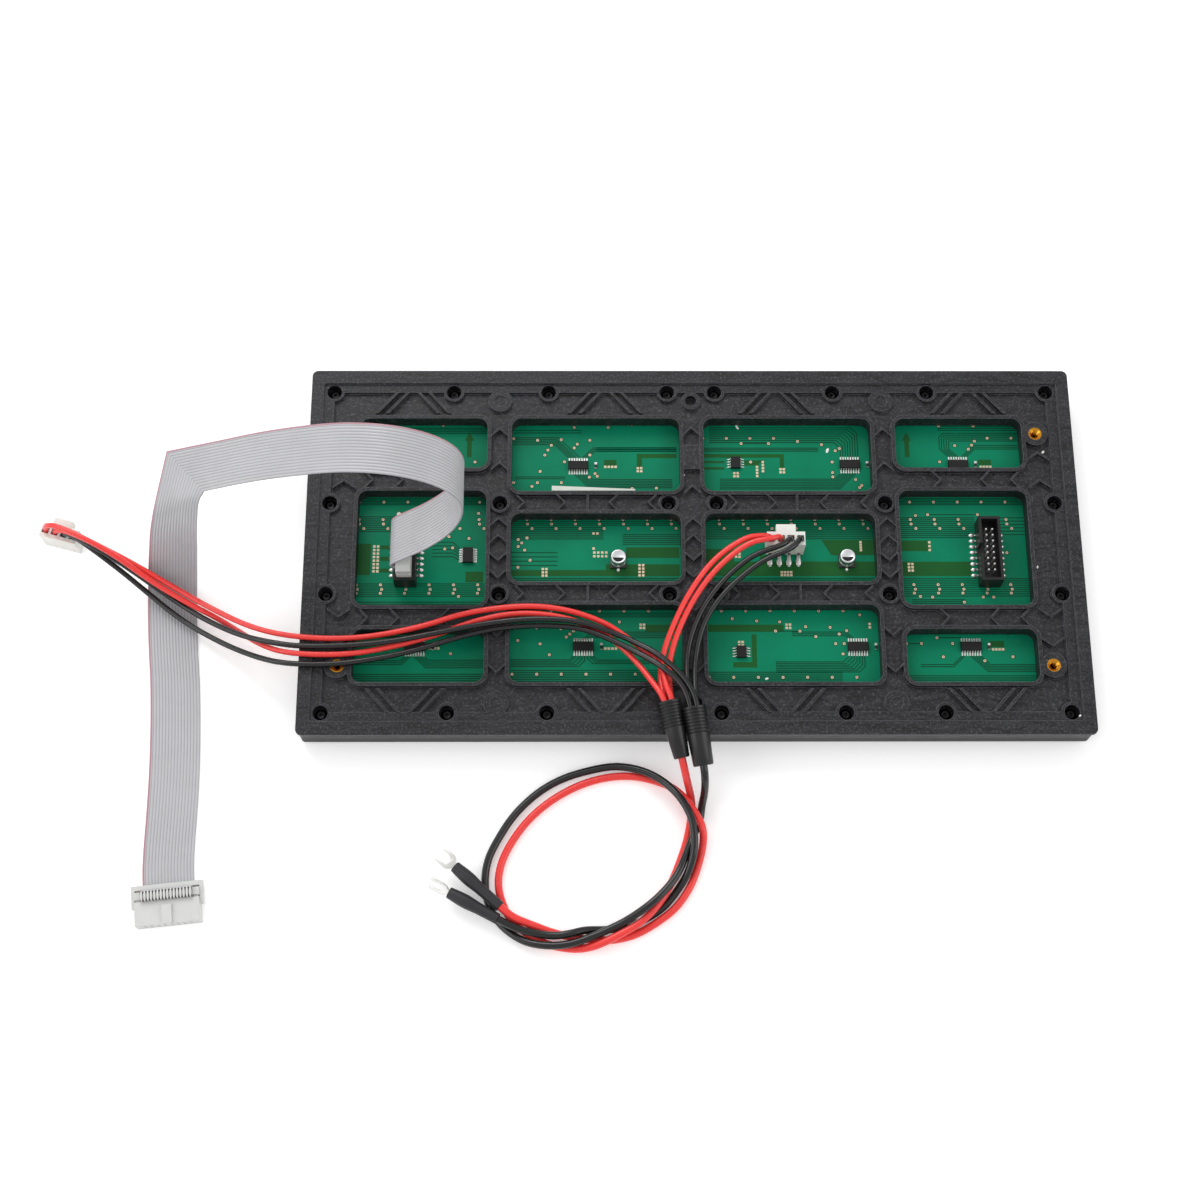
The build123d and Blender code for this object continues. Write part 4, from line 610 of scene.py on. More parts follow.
def finish(name):
    """One finish of the module, made when it is first asked for."""
    if name not in FINISHES:
        cords = bpy.context.scene.module_cords
        board = bpy.context.scene.module_board
        makers = {
            "frame": frame_plastic,
            "mask": mask_plastic,
            "led": package_faces,
            "laminate": lambda: solder_mask(tuple(board.mask), "green_solder_mask_on_laminate"),
            "copper": lambda: solder_mask(tuple(board.copper), "green_solder_mask_on_copper"),
            "track": lambda: solder_mask(tuple(board.track), "green_solder_mask_on_tracks"),
            # machined brass: bright turned faces, slightly browned between them
            "brass": lambda: metal("turned_brass", linear("E2A53A"), linear("B97A1E"), 0.26),
            # tin plate: dull silver with soft highlights
            "tin": lambda: metal("tin_plated_bronze", linear("F4F3F0"), linear("D6D5D1"), 0.34, metallic=0.8),
            # tinned bare pads with a little copper showing through: pale beige
            "pad": lambda: textured(
                "tinned_copper_pad", linear("E6D6BC"), linear("C2A986"), 0.3, 0.01, 0.45, 0.08, Metallic=0.4),
            # reflowed solder: bright rounded drops
            "solder": lambda: metal("reflowed_tin_solder", linear("F8F8F6"), linear("D0D0CE"), 0.26, 0.6,
                                    0.02, 0.8),
            # drawn aluminium: bright lids and satin sides
            "aluminium": lambda: metal("drawn_aluminium_can", linear("EDEEF0"), linear("CFD1D4"), 0.36),
            # blackened steel: dark heads with a dull shine
            "steel": lambda: metal("blackened_screw_steel", linear("2C2C2E"), linear("161617"), 0.34),
            # glass-filled PBT: satin black with sharp moulded edges
            "header": lambda: textured(
                "moulded_black_pbt", linear("0E0E10"), linear("1E1E20"), 0.3, 0.015, 0.42, 0.06, IOR=1.57,
                Specular_IOR_Level=0.3),
            # light grey PBT of the ribbon connectors
            "socket": lambda: textured(
                "moulded_grey_pbt", linear("D2D3D0"), linear("C0C1BE"), 0.3, 0.012, 0.45, 0.06, IOR=1.57),
            # nylon 66: milky white, light scattering at thin walls
            "nylon": lambda: textured(
                "moulded_white_nylon", linear("E4E3DD"), linear("D6D5CF"), 0.4, 0.012, 0.42, 0.06,
                IOR=1.53, Subsurface_Weight=0.15, Subsurface_Scale=0.001),
            # epoxy moulding compound: matt black with a fine sandy face
            "resin": lambda: textured(
                "moulded_black_epoxy", linear("0B0B0C"), linear("161618"), 0.12, 0.012, 0.55, 0.05,
                IOR=1.55, Specular_IOR_Level=0.25),
            # phenolic moulding: plain black bases under the cans
            "phenolic": lambda: textured(
                "moulded_black_phenolic", linear("121213"), linear("1C1C1E"), 0.2, 0.01, 0.4, 0.05, IOR=1.6),
            # chip resistor: black glass over white alumina
            "resistor": lambda: textured(
                "printed_black_glaze", linear("151517"), linear("26262A"), 0.2, 0.004, 0.22, 0.04, IOR=1.5),
            # extruded PVC: smooth satin skin that dims along its length
            "red": lambda: textured(
                "extruded_red_pvc", tuple(cords.red), tuple(c * 0.86 for c in cords.red[:3]) + (1.0,),
                0.5, 0.012, 0.27, 0.05, IOR=1.53),
            "black": lambda: textured(
                "extruded_black_pvc", tuple(cords.black), tuple(c * 0.6 for c in cords.black[:3]) + (1.0,),
                0.5, 0.012, 0.26, 0.05, IOR=1.53),
            "grey": lambda: ribbon_grey(cords),
            # soft PVC boot and shrunk polyolefin: matt black, faintly dusty
            "boot": lambda: textured(
                "moulded_soft_pvc", linear("101011"), linear("1E1E20"), 0.5, 0.02, 0.34, 0.06, IOR=1.53,
                Specular_IOR_Level=0.4),
            "shrink": lambda: textured(
                "shrunk_polyolefin", linear("17171A"), linear("2A2A2E"), 0.8, 0.05, 0.5, 0.06, IOR=1.49),
            # silkscreen ink and lacquer dabs: opaque white with a soft gloss
            "ink": lambda: textured(
                "printed_white_ink", linear("E6E8E2"), linear("CFD2CA"), 0.4, 0.004, 0.5, 0.05, IOR=1.5),
            "lacquer": lambda: textured(
                "dried_white_lacquer", linear("F1F1EE"), linear("DADAD5"), 0.5, 0.03, 0.36, 0.05, IOR=1.5),
        }
        FINISHES[name] = makers[name]()
    return FINISHES[name]


# Meshes


def piece(name, verts, faces, finish_name, slot=None, smooth=False, place=None):
    """New riding piece from millimetre points."""
    mesh = bpy.data.meshes.new(name)
    if place is not None:
        verts = [place @ Vector(v) for v in verts]
    mesh.from_pydata([tuple(c * MM for c in v) for v in verts], [], faces)
    mesh.validate()
    mesh.polygons.foreach_set("use_smooth", [smooth] * len(mesh.polygons))
    mesh.materials.append(finish(finish_name))
    obj = bpy.data.objects.new(name, mesh)
    bpy.context.scene.collection.objects.link(obj)
    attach(obj, "root")
    return obj


def settled(obj, bevel=None, segments=2, smooth_angle=None):
    """Apply a small edge rounding and smooth shading by angle to a piece's own mesh."""
    if bevel:
        rounding = obj.modifiers.new("edges", "BEVEL")
        rounding.width = bevel * MM
        rounding.segments = segments
        rounding.limit_method = "ANGLE"
        rounding.angle_limit = math.radians(40)
        view = bpy.context.evaluated_depsgraph_get()
        rounded = bpy.data.meshes.new_from_object(obj.evaluated_get(view))
        obj.modifiers.clear()
        obj.data = rounded
    if smooth_angle:
        obj.data.polygons.foreach_set("use_smooth", [True] * len(obj.data.polygons))
        obj.data.set_sharp_from_angle(angle=math.radians(smooth_angle))
    return obj


def joined(parts):
    """One list of points and faces from several."""
    verts, faces = [], []
    for more_verts, more_faces in parts:
        base = len(verts)
        verts += [tuple(v) for v in more_verts]
        faces += [tuple(base + i for i in face) for face in more_faces]
    return verts, faces


def block(low, high):
    """Box from corner to corner."""
    (x0, y0, z0), (x1, y1, z1) = low, high
    verts = [(x, y, z) for z in (z0, z1) for x, y in ((x0, y0), (x1, y0), (x1, y1), (x0, y1))]
    return verts, [(3, 2, 1, 0), (4, 5, 6, 7), (0, 1, 5, 4), (1, 2, 6, 5), (2, 3, 7, 6), (3, 0, 4, 7)]


def prism(outline, bottom, top):
    """Flat outline raised from bottom to top."""
    count = len(outline)
    verts = [(x, y, bottom) for x, y in outline] + [(x, y, top) for x, y in outline]
    faces = [tuple(reversed(range(count))), tuple(range(count, 2 * count))]
    faces += [(i, (i + 1) % count, (i + 1) % count + count, i + count) for i in range(count)]
    return verts, faces


def lathe(profile, segments=40, place=None):
    """Profile of (radius, height) turned about local Z."""
    verts, faces = [], []
    for radius, height in profile:
        for k in range(segments):
            turn = 2 * math.pi * k / segments
            verts.append(Vector((radius * math.cos(turn), radius * math.sin(turn), height)))
    for row in range(len(profile) - 1):
        for k in range(segments):
            on = (k + 1) % segments
            faces.append((row * segments + k, row * segments + on, (row + 1) * segments + on,
                          (row + 1) * segments + k))
    if place is not None:
        verts = [place @ v for v in verts]
    return verts, faces


def at_point(x, y, z):
    """Matrix that only moves."""
    return Matrix.Translation((x, y, z))


def mound(at, length, width, height, turn=0.0):
    """Low rounded drop that lies on a level face."""
    place = at_point(*at) @ Matrix.Rotation(math.radians(turn), 4, "Z") @ Matrix.Diagonal(
        (length / 2, width / 2, height, 1.0))
    rows = [(math.cos(rise), math.sin(rise)) for rise in (k * math.pi / 10 for k in range(6))]
    return lathe(rows, 16, place)


def arc(radius, height, first, sweep, steps):
    """Points of an arc about (0, height), from its first angle through a sweep, in degrees."""
    turns = [math.radians(first + sweep * k / steps) for k in range(steps + 1)]
    return [(radius * math.cos(t), height + radius * math.sin(t)) for t in turns]


def disc(x, y, radius, level, corners=14):
    """Flat round face."""
    turns = [2 * math.pi * k / corners for k in range(corners)]
    rim = [(x + radius * math.cos(t), y + radius * math.sin(t), level) for t in turns]
    return rim, [tuple(range(corners))]


def strip(points, width, level):
    """Flat band of even width along a bent line, mitred at its corners."""
    verts, faces = [], []
    for i, point in enumerate(points):
        here = Vector(point)
        before = (here - Vector(points[i - 1])).normalized() if i else None
        after = (Vector(points[i + 1]) - here).normalized() if i + 1 < len(points) else None
        before, after = before or after, after or before
        across = (before + after).normalized().orthogonal()
        reach = width / 2 / max(abs(across.dot(before.orthogonal())), 0.3)
        for side in (1, -1):
            spot = here + across * reach * side
            verts.append((spot.x, spot.y, level))
    for i in range(len(points) - 1):
        faces.append((2 * i, 2 * i + 1, 2 * i + 3, 2 * i + 2))
    return verts, faces


def inside_window(x, y, margin=1.2):
    """Whether a place on the board shows through the frame."""
    return any(abs(x - cx) < length / 2 + margin and abs(y - cy) < width / 2 + margin
               for cx, cy, length, width in WINDOWS)


# Cords


def nurbs(name, points, diameter=0.0):
    """Smooth curve object with the route's points as its controls."""
    curve = bpy.data.curves.new(name, "CURVE")
    curve.dimensions = "3D"
    curve.resolution_u = 8
    curve.bevel_depth = diameter / 2
    curve.bevel_resolution = 5
    curve.use_fill_caps = True
    spline = curve.splines.new("NURBS")
    spline.points.add(len(points) - 1)
    for control, point in zip(spline.points, points):
        control.co = (point[0] * MM, point[1] * MM, point[2] * MM, 1.0)
    spline.order_u = 3
    spline.use_endpoint_u = True
    obj = bpy.data.objects.new(name, curve)
    bpy.context.scene.collection.objects.link(obj)
    return obj


def points_along(points):
    """Points read from the smooth curve through a route's controls, in metres."""
    guide = nurbs("guide", points)
    view = bpy.context.evaluated_depsgraph_get()
    line = bpy.data.meshes.new_from_object(guide.evaluated_get(view))
    found = [v.co.copy() for v in line.vertices]
    bpy.data.objects.remove(guide)
    bpy.data.meshes.remove(line)
    return found


def line_length(points):
    """Length of a row of points."""
    return sum((b - a).length for a, b in zip(points, points[1:]))


class MODULE_OT_camera(bpy.types.Operator):
    """Stand the camera where the portrait was taken"""

    bl_idname = "module.camera"
    bl_label = "Camera"

    def execute(self, context):
        lens = bpy.data.cameras.new("portrait_camera")
        lens.lens = 59.84
        lens.sensor_width = 36.0
        lens.clip_start = 0.01
        lens.clip_end = 20.0
        camera = bpy.data.objects.new("portrait_camera", lens)
        camera.location = (-0.0443, -0.2936, 0.7812)
        camera.rotation_euler = Euler([math.radians(a) for a in (19.453, -0.373, -0.161)], "XYZ")
        context.scene.collection.objects.link(camera)
        context.scene.camera = camera
        return {"FINISHED"}


class MODULE_OT_wires(bpy.types.Operator):
    """Lay the eight harness wires and the two supply leads"""

    bl_idname = "module.wires"
    bl_label = "Wires and leads"

    def execute(self, context):
        sizes = context.scene.module_cords
        for name, route in {**WIRES, **LEADS}.items():
            lead = name in LEADS
            diameter = sizes.lead_diameter if lead else sizes.wire_diameter
            colour = name.split("_")[0]
            cord = nurbs(name + "_insulation", route, diameter)
            cord.data.materials.append(finish(colour))
            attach(cord, "root")
            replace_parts(cord, name)
            length = line_length(points_along(route))
            if lead:
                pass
            elif name[-1] in "12":
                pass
            else:
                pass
        return {"FINISHED"}


class MODULE_OT_ribbon(bpy.types.Operator):
    """Lay the sixteen-way ribbon from the seated plug over its fold to the loose socket"""

    bl_idname = "module.ribbon"
    bl_label = "Ribbon"

    def execute(self, context):
        sizes = context.scene.module_cords
        half = sizes.ribbon_width / MM / 2
        stations = [(middle, Vector((0, 1, 0))) for middle in RIBBON_LOOP]
        west = Vector(FOLD_WEST).normalized()
        stations += [(FOLD_MIDDLE, (Vector((0, 1, 0)) + west) * 0.93)] * 2
        stations += [(middle, Vector(edge).normalized()) for middle, edge in RIBBON_FALL]
        turn = -(LOOSE_SOCKET.col[2].to_3d().cross(LOOSE_SOCKET.col[0].to_3d()))
        stations += [(tuple(LOOSE_SOCKET @ Vector((x, 0, z))), turn) for x, z in SOCKET_TURN]
        middles = points_along([middle for middle, edge in stations])
        edges = points_along([tuple(Vector(middle) + edge * half) for middle, edge in stations])
        ways = sizes.conductors
        steps = 4
        profile = []
        for k in range(ways * steps + 1):
            share = k / (ways * steps)
            ridge = abs(math.sin(math.pi * share * ways)) ** 0.6
            thick = sizes.ribbon_groove + (sizes.ribbon_ridge - sizes.ribbon_groove) * ridge
            profile.append((2 * share - 1, thick / 2, share))
        verts, shares = [], []
        for i, (middle, edge) in enumerate(zip(middles, edges)):
            before = middles[max(i - 1, 0)]
            after = middles[min(i + 1, len(middles) - 1)]
            if (after - before).length < 1e-7:
                before = middles[max(i - 3, 0)]
                after = middles[min(i + 3, len(middles) - 1)]
            out = edge - middle
            normal = (after - before).cross(out).normalized()
            for side in (1, -1):
                for across, thick, share in (profile if side == 1 else reversed(profile)):
                    verts.append(middle + out * across + normal * thick * side)
                    shares.append(share)
        ring = 2 * len(profile)
        faces = []
        for i in range(len(middles) - 1):
            for k in range(ring):
                on = (k + 1) % ring
                faces.append((i * ring + k, i * ring + on, (i + 1) * ring + on, (i + 1) * ring + k))
        faces.append(tuple(reversed(range(ring))))
        faces.append(tuple(range((len(middles) - 1) * ring, len(middles) * ring)))
        mesh = bpy.data.meshes.new("ribbon_insulation")
        mesh.from_pydata([tuple(v) for v in verts], [], faces)
        layer = mesh.uv_layers.new(name="across")
        for loop in mesh.loops:
            layer.data[loop.index].uv = (shares[loop.vertex_index], loop.vertex_index // ring / len(middles))
        mesh.polygons.foreach_set("use_smooth", [True] * len(mesh.polygons))
        mesh.set_sharp_from_angle(angle=math.radians(60))
        mesh.materials.append(finish("grey"))
        ribbon = bpy.data.objects.new("ribbon_insulation", mesh)
        context.scene.collection.objects.link(ribbon)
        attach(ribbon, "root")
        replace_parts(ribbon, "ribbon_cable")
        return {"FINISHED"}


NODE_FINISHES = {
    "back_frame": "frame", "front_mask": "mask", "circuit_board": "laminate", "led_packages": "led",
    "threaded_inserts": "brass", "input_header": "header", "output_header": "header",
    "input_header_pins": "tin", "output_header_pins": "tin",
    "ribbon_plug_body": "socket", "ribbon_plug_cap": "socket", "ribbon_socket_body": "socket",
    "ribbon_socket_cap": "socket", "ribbon_socket_relief": "socket",
    "power_header": "nylon", "power_header_pins": "tin", "power_plug_housing": "nylon",
    "power_plug_contacts": "tin", "free_plug_housing": "nylon", "free_plug_contacts": "tin",
    "driver_chips": "resin", "row_chips": "resin", "chip_resistors": "resistor",
    "capacitor_cans": "aluminium", "capacitor_bases": "phenolic",
    "red_splice_boot": "boot", "black_splice_boot": "boot", "red_sleeve": "shrink", "black_sleeve": "shrink",
    "red_fork_terminal": "tin", "black_fork_terminal": "tin",
    "red_wire_1": "red", "red_wire_2": "red", "red_wire_3": "red", "red_wire_4": "red", "red_lead": "red",
    "black_wire_1": "black", "black_wire_2": "black", "black_wire_3": "black", "black_wire_4": "black",
    "black_lead": "black", "ribbon_cable": "socket",
}


class MODULE_OT_finishes(bpy.types.Operator):
    """Give every CAD node its finish"""

    bl_idname = "module.finishes"
    bl_label = "Finishes"

    def execute(self, context):
        for name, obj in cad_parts.items():
            for slot in obj.material_slots:
                slot.material = finish(NODE_FINISHES[name])
        return {"FINISHED"}


class MODULE_OT_screws(bpy.types.Operator):
    """Sink the case screws in their seats, and round the seats' rims"""

    bl_idname = "module.screws"
    bl_label = "Case screws"

    def execute(self, context):
        head = [(0.0, 0.75), (0.5, 0.75), (0.62, 1.45), (1.5, 1.6), (2.3, 1.1), (2.6, 0.5), (2.6, 0.02)]
        depth = LEDGE_LEVEL - SEAT_FLOOR
        rim = [(-0.09, 0.1), (-0.09, depth - 0.15), (0.06, depth + 0.04), (1.05, depth + 0.04),
               (1.2, depth - 0.1), (1.2, FLOOR_LEVEL - SEAT_FLOOR)]
        rim = [(SEAT_RADIUS + out, up) for out, up in rim]
        centres = [at_point(x, y, SEAT_FLOOR) for x, y in SCREWS]
        heads = [lathe(head, 24, centre) for centre in centres]
        seats = [lathe(rim, 36, centre) for centre in centres]
        settled(piece("case_screws", *joined(heads), "steel", "contact_metal"), smooth_angle=35)
        settled(piece("screw_seat_rims", *joined(seats), "frame", "frame_plastic"), smooth_angle=35)
        return {"FINISHED"}


class MODULE_OT_inserts(bpy.types.Operator):
    """Turn the four threaded brass inserts"""

    bl_idname = "module.inserts"
    bl_label = "Threaded inserts"

    def execute(self, context):
        profile = [(2.83, -6.0), (2.83, -0.15), (2.7, 0.0), (2.35, 0.0), (1.75, -0.6)]
        depth = -0.6
        while depth > -5.6:
            profile += [(1.45, depth - 0.2), (1.45, depth - 0.3), (1.7, depth - 0.5)]
            depth -= 0.5
        turned = [lathe(profile + [(1.7, -6.0)], 36, at_point(x, y, LIP_LEVEL)) for x, y in INSERTS]
        inserts = settled(piece("turned_inserts", *joined(turned), "brass", "brass"), smooth_angle=35)
        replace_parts(inserts, "threaded_inserts")
        return {"FINISHED"}


class MODULE_OT_harness_ends(bpy.types.Operator):
    """Mould the splice boots, shrink the sleeves and stamp the fork terminals"""

    bl_idname = "module.harness_ends"
    bl_label = "Boots, sleeves and forks"

    def execute(self, context):
        for colour, boot, sleeve in (("red", RED_BOOT, RED_SLEEVE), ("black", BLACK_BOOT, BLACK_SLEEVE)):
            length = BOOT_LENGTHS[colour]
            end_radius = 3.1 if colour == "red" else 4.0
            taper = (5.0 - end_radius) / length
            outline = [(0.0, 7.9), (3.3, 7.9), (3.45, 0.4), (3.8, 0.05), (4.75, 0.0), (5.0, 0.25)]
            for ring in range(8):
                start = 1.1 + 1.3 * ring
                radius = 5.0 - taper * start
                outline += [(radius, start - 0.1), (radius - 0.28, start + 0.12)]
                outline += [(radius - 0.28, start + 0.36), (radius, start + 0.58)]
            outline += [(end_radius + 0.1, length - 0.5), (end_radius - 0.2, length), (1.7, length),
                        (1.5, length + 0.02), (0.0, length + 0.02)]
            moulded = piece(colour + "_boot_moulding", *lathe(outline, 48, boot), "boot", "black_sleeve")
            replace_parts(settled(moulded, smooth_angle=38), colour + "_splice_boot")
            tail = SLEEVE_LENGTHS[colour]
            outline = [(1.9, 0.5), (1.95, 0.0), (2.25, 0.0), (2.34, 0.6), (2.62, 4.0), (2.75, 6.0),
                       (2.74, 8.6), (2.58, 10.2), (2.36, 12.6), (2.28, 15.0), (2.2, tail - 2.0),
                       (2.15, tail - 0.1), (2.0, tail), (1.5, tail), (0.0, tail)]
            shrunk = piece(colour + "_shrunk_sleeve", *lathe(outline, 40, sleeve), "shrink", "black_sleeve")
            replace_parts(settled(shrunk, smooth_angle=50), colour + "_sleeve")
            lean = Matrix.Rotation(math.radians(0 if colour == "red" else 60), 4, "Z")
            self.fork(colour, sleeve @ lean)
        return {"FINISHED"}

    def fork(self, colour, place):
        """Blade with two tines and a rolled barrel, in the sleeve's frame."""
        outer, slot, reach = 3.4, 1.8, 8.6
        centre = outer + 0.2
        outline = [(-1.5, 1.0), (1.5, 1.0)] + arc(outer, -centre, 62, -62, 12)
        outline += [(outer, -reach + 0.7), (outer - 0.7, -reach), (slot + 0.2, -reach), (slot, -reach + 0.3)]
        outline += arc(slot, -centre - 1.6, 0, 180, 16)
        outline += [(-slot, -reach + 0.3), (-slot - 0.2, -reach), (-outer + 0.7, -reach),
                    (-outer, -reach + 0.7)] + arc(outer, -centre, 180, -62, 12)
        blade_verts, blade_faces = prism(outline, -0.4, 0.4)
        blade = [(x, z, y) for x, y, z in blade_verts]
        barrel = lathe([(1.1, 8.6), (1.1, 0.15), (1.3, -0.1), (1.75, -0.1), (1.9, 0.1), (1.9, 8.6)], 32)
        verts, faces = joined([(blade, blade_faces), barrel])
        stamped = piece(colour + "_stamped_fork", verts, faces, "tin", "contact_metal", place=place)
        mend = bmesh.new()
        mend.from_mesh(stamped.data)
        bmesh.ops.recalc_face_normals(mend, faces=mend.faces)
        mend.to_mesh(stamped.data)
        mend.free()
        settled(stamped, bevel=0.12, smooth_angle=35)
        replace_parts(stamped, colour + "_fork_terminal")


class MODULE_OT_chip_legs(bpy.types.Operator):
    """Stand gull-wing legs beside every chip and tin the resistors' ends"""

    bl_idname = "module.chip_legs"
    bl_label = "Chip legs"

    def leg(self, place, width, reach, rise=0.9, thick=0.2):
        """One bent leg leaving a body along local X."""
        path = [(0, rise), (reach * 0.25, rise), (reach * 0.45, 0.12), (reach, 0.06)]
        verts, faces = [], []
        for x, z in path:
            verts += [(x, -width / 2, z), (x, width / 2, z), (x, width / 2, z + thick),
                      (x, -width / 2, z + thick)]
        for i in range(len(path) - 1):
            for k in range(4):
                on = (k + 1) % 4
                faces.append((4 * i + k, 4 * i + on, 4 * i + 4 + on, 4 * i + 4 + k))
        faces += [(3, 2, 1, 0), tuple(range(len(verts) - 4, len(verts)))]
        return [place @ Vector(v) for v in verts], faces

    def execute(self, context):
        legs, lands = [], []
        for x, y in CHIPS:
            for k in range(8):
                across = (k - 3.5) * CHIP_LEG_PITCH
                for side in (-1, 1):
                    turn = Matrix.Rotation(math.radians(90 * side), 4, "Z")
                    legs.append(self.leg(at_point(x + across, y + side * 1.9, BOARD_TOP) @ turn, 0.42, 1.15))
                    lands.append(block((x + across - 0.31, y + side * 3.0 - 0.75, BOARD_TOP),
                                       (x + across + 0.31, y + side * 3.0 + 0.75, BOARD_TOP + LAND_RISE)))
        for (x, y), count, half in [(place, 4, 2.0) for place in SMALL_CHIPS] + [(BUFFER_CHIP, 8, 2.1)]:
            for k in range(count):
                along = (k - (count - 1) / 2) * (0.78 if count == 8 else 1.15)
                for side in (-1, 1):
                    turn = Matrix.Rotation(0 if side == 1 else math.pi, 4, "Z")
                    legs.append(self.leg(at_point(x + side * half, y + along, BOARD_TOP) @ turn, 0.34, 1.1))
                    foot = x + side * (half + 0.9)
                    lands.append(block((foot - 0.7, y + along - 0.2, BOARD_TOP),
                                       (foot + 0.7, y + along + 0.2, BOARD_TOP + LAND_RISE)))
        for x, y in CHIPS:
            for side in (-1, 1):
                lands.append(block((x + 7.4 - 0.52, y + side * 0.85 - 0.28, BOARD_TOP),
                                   (x + 7.4 + 0.52, y + side * 0.85 + 0.42 * side + 0.28, BOARD_TOP + 0.64)))
        settled(piece("chip_legs", *joined(legs), "tin", "contact_metal"), smooth_angle=30)
        piece("solder_lands", *joined(lands), "solder", "contact_metal")
        return {"FINISHED"}


class MODULE_OT_board_print(bpy.types.Operator):
    """Etch the board: copper fields, tracks, via pads, test pads, arrows and the white bar"""

    bl_idname = "module.board_print"
    bl_label = "Board print"

    def tracks(self):
        """Every track as a bent line on the board."""
        lines = []
        for start, stop, first, last, step in LEVEL_TRACKS:
            for k in range(int(abs(first - last) / step + 0.5) + 1):
                y = first + math.copysign(step * k, last - first)
                lines.append([(start, y), (stop, y)])
        for (x, y), side, far, first, step, corner, legs in FANS:
            way = math.copysign(1, x - far)
            for k in range(legs):
                foot = Vector((x - way * (3.5 - k) * CHIP_LEG_PITCH, y + side * 3.6))
                level = first + step * k
                cut = min(corner, abs(level - foot.y))
                lines.append([(far, level), (foot.x - way * cut, level), (foot.x, level - side * cut),
                              tuple(foot)])
        for k in range(5):
            # nested corners of the outer right window
            lines.append([(108.9 + 1.05 * k, 43.4), (105.3 + k, 47.0), (105.3 + k, 52.7 - 0.5 * k),
                          (107.1 + 0.6 * k, 54.5 - 0.9 * k), (138.6, 54.5 - 0.9 * k)])
            # fan that leaves the buffer chip's left side
            lines.append([(-96.6, 2.2 - 1.27 * k), (-99.5, 5.0 - 1.6 * k), (-108, 5.0 - 1.6 * k)])
        return lines

    def execute(self, context):
        board = context.scene.module_board
        width = board.track_width / MM
        pad = board.via_radius / MM
        pours = [([(x, y, BOARD_TOP + COPPER_RISE) for x, y in outline],
                  [tuple(range(len(outline)))]) for outline in POURS]
        for x in (91.5, -93.5):
            arrow = [(0, 55), (-2, 51), (-1, 51), (-1, 43.5), (1, 43.5), (1, 51), (2, 51)]
            pours.append(([(x + dx, y, BOARD_TOP + COPPER_RISE) for dx, y in arrow], [tuple(range(7))]))
        lines = [strip(line, width, BOARD_TOP + TRACK_RISE) for line in self.tracks()]
        places = list(VIAS)
        for (x, y), count in VIA_ROWS:
            places += [(x + 10.0 * k, y) for k in range(count)]
        rings, pads, hole_shades = [], [], []
        for x, y in places:
            if inside_window(x, y):
                rings.append(disc(x, y, pad + 0.3, BOARD_TOP + RIM_RISE))
                pads.append(disc(x, y, pad, BOARD_TOP + PAD_RISE))
                # black disc over each via's bore: painted shade of the open hole
                hole_shades.append(disc(x, y, pad * 0.34, BOARD_TOP + TOP_RISE, 10))
        for (x, y), columns, rows, step in PAD_GROUPS:
            for i in range(columns):
                for j in range(rows):
                    spot = (x + i * step, y - j * step)
                    pads.append(block((spot[0] - 0.52, spot[1] - 0.52, BOARD_TOP + TRACK_RISE),
                                      (spot[0] + 0.52, spot[1] + 0.52, BOARD_TOP + TOP_RISE)))
        piece("copper_fields", *joined(pours), "copper", "board")
        piece("tracks", *joined(lines), "track", "board")
        piece("via_rims", *joined(rings), "track", "board")
        piece("bare_pads", *joined(pads), "pad", "contact_metal")
        piece("via_hole_shades", *joined(hole_shades), "resin")
        bar = prism([(-58.6, 28.2), (-23.6, 28.2), (-23.6, 28.9), (-58.6, 30.4)], BOARD_TOP + COPPER_RISE,
                    BOARD_TOP + TOP_RISE)
        piece("white_bar", *bar, "ink")
        return {"FINISHED"}


class MODULE_OT_board_parts(bpy.types.Operator):
    """Draw the capacitor cans, solder the feet and drop the stray dabs of lacquer"""

    bl_idname = "module.board_parts"
    bl_label = "Cans, solder and dabs"

    def execute(self, context):
        cans, marks, drops = [], [], []
        height = 4.8
        profile = [(0.0, 0.0), (3.15, 0.0), (3.15, 0.9), (2.9, 1.08), (2.85, 1.2), (2.9, 1.32), (3.15, 1.5),
                   (3.15, height - 0.5), (3.07, height - 0.2), (2.88, height - 0.04), (2.7, height),
                   (2.5, height), (2.42, height - 0.05), (0.0, height - 0.05)]
        for x, y in CANS:
            cans.append(lathe(profile, 48, at_point(x, y, BOARD_TOP + 1.0)))
            turns = [math.radians(192 + 156 * k / 12) for k in range(13)]
            level = BOARD_TOP + 1.0 + height - 0.02
            crescent = [(x + 2.4 * math.cos(t), y + 2.4 * math.sin(t), level) for t in turns]
            marks.append((crescent, [tuple(range(13))]))
            drops.append(mound((x, y - 3.9, BOARD_TOP), 1.5, 2.2, 0.9))
        for x, y in HEADER_PLACES:
            for k in range(8):
                for side in (-1, 1):
                    drops.append(mound((x + side * 6.0, y + (k - 3.5) * 2.54, BOARD_TOP), 2.7, 1.75, 0.9))
        for x in POWER_PINS:
            drops.append(mound((POWER_X + x, -3.8, BOARD_TOP), 2.3, 4.4, 0.45))
        made = settled(piece("can_shells", *joined(cans), "aluminium", "can_aluminium"), smooth_angle=35)
        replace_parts(made, "capacitor_cans")
        piece("can_marks", *joined(marks), "resin")
        settled(piece("solder_fillets", *joined(drops), "solder", "contact_metal"), smooth_angle=60)
        dabs = [mound(at, length, width, 0.25, turn) for at, length, width, turn in DABS]
        settled(piece("lacquer_dabs", *joined(dabs), "lacquer"), smooth_angle=60)
        return {"FINISHED"}


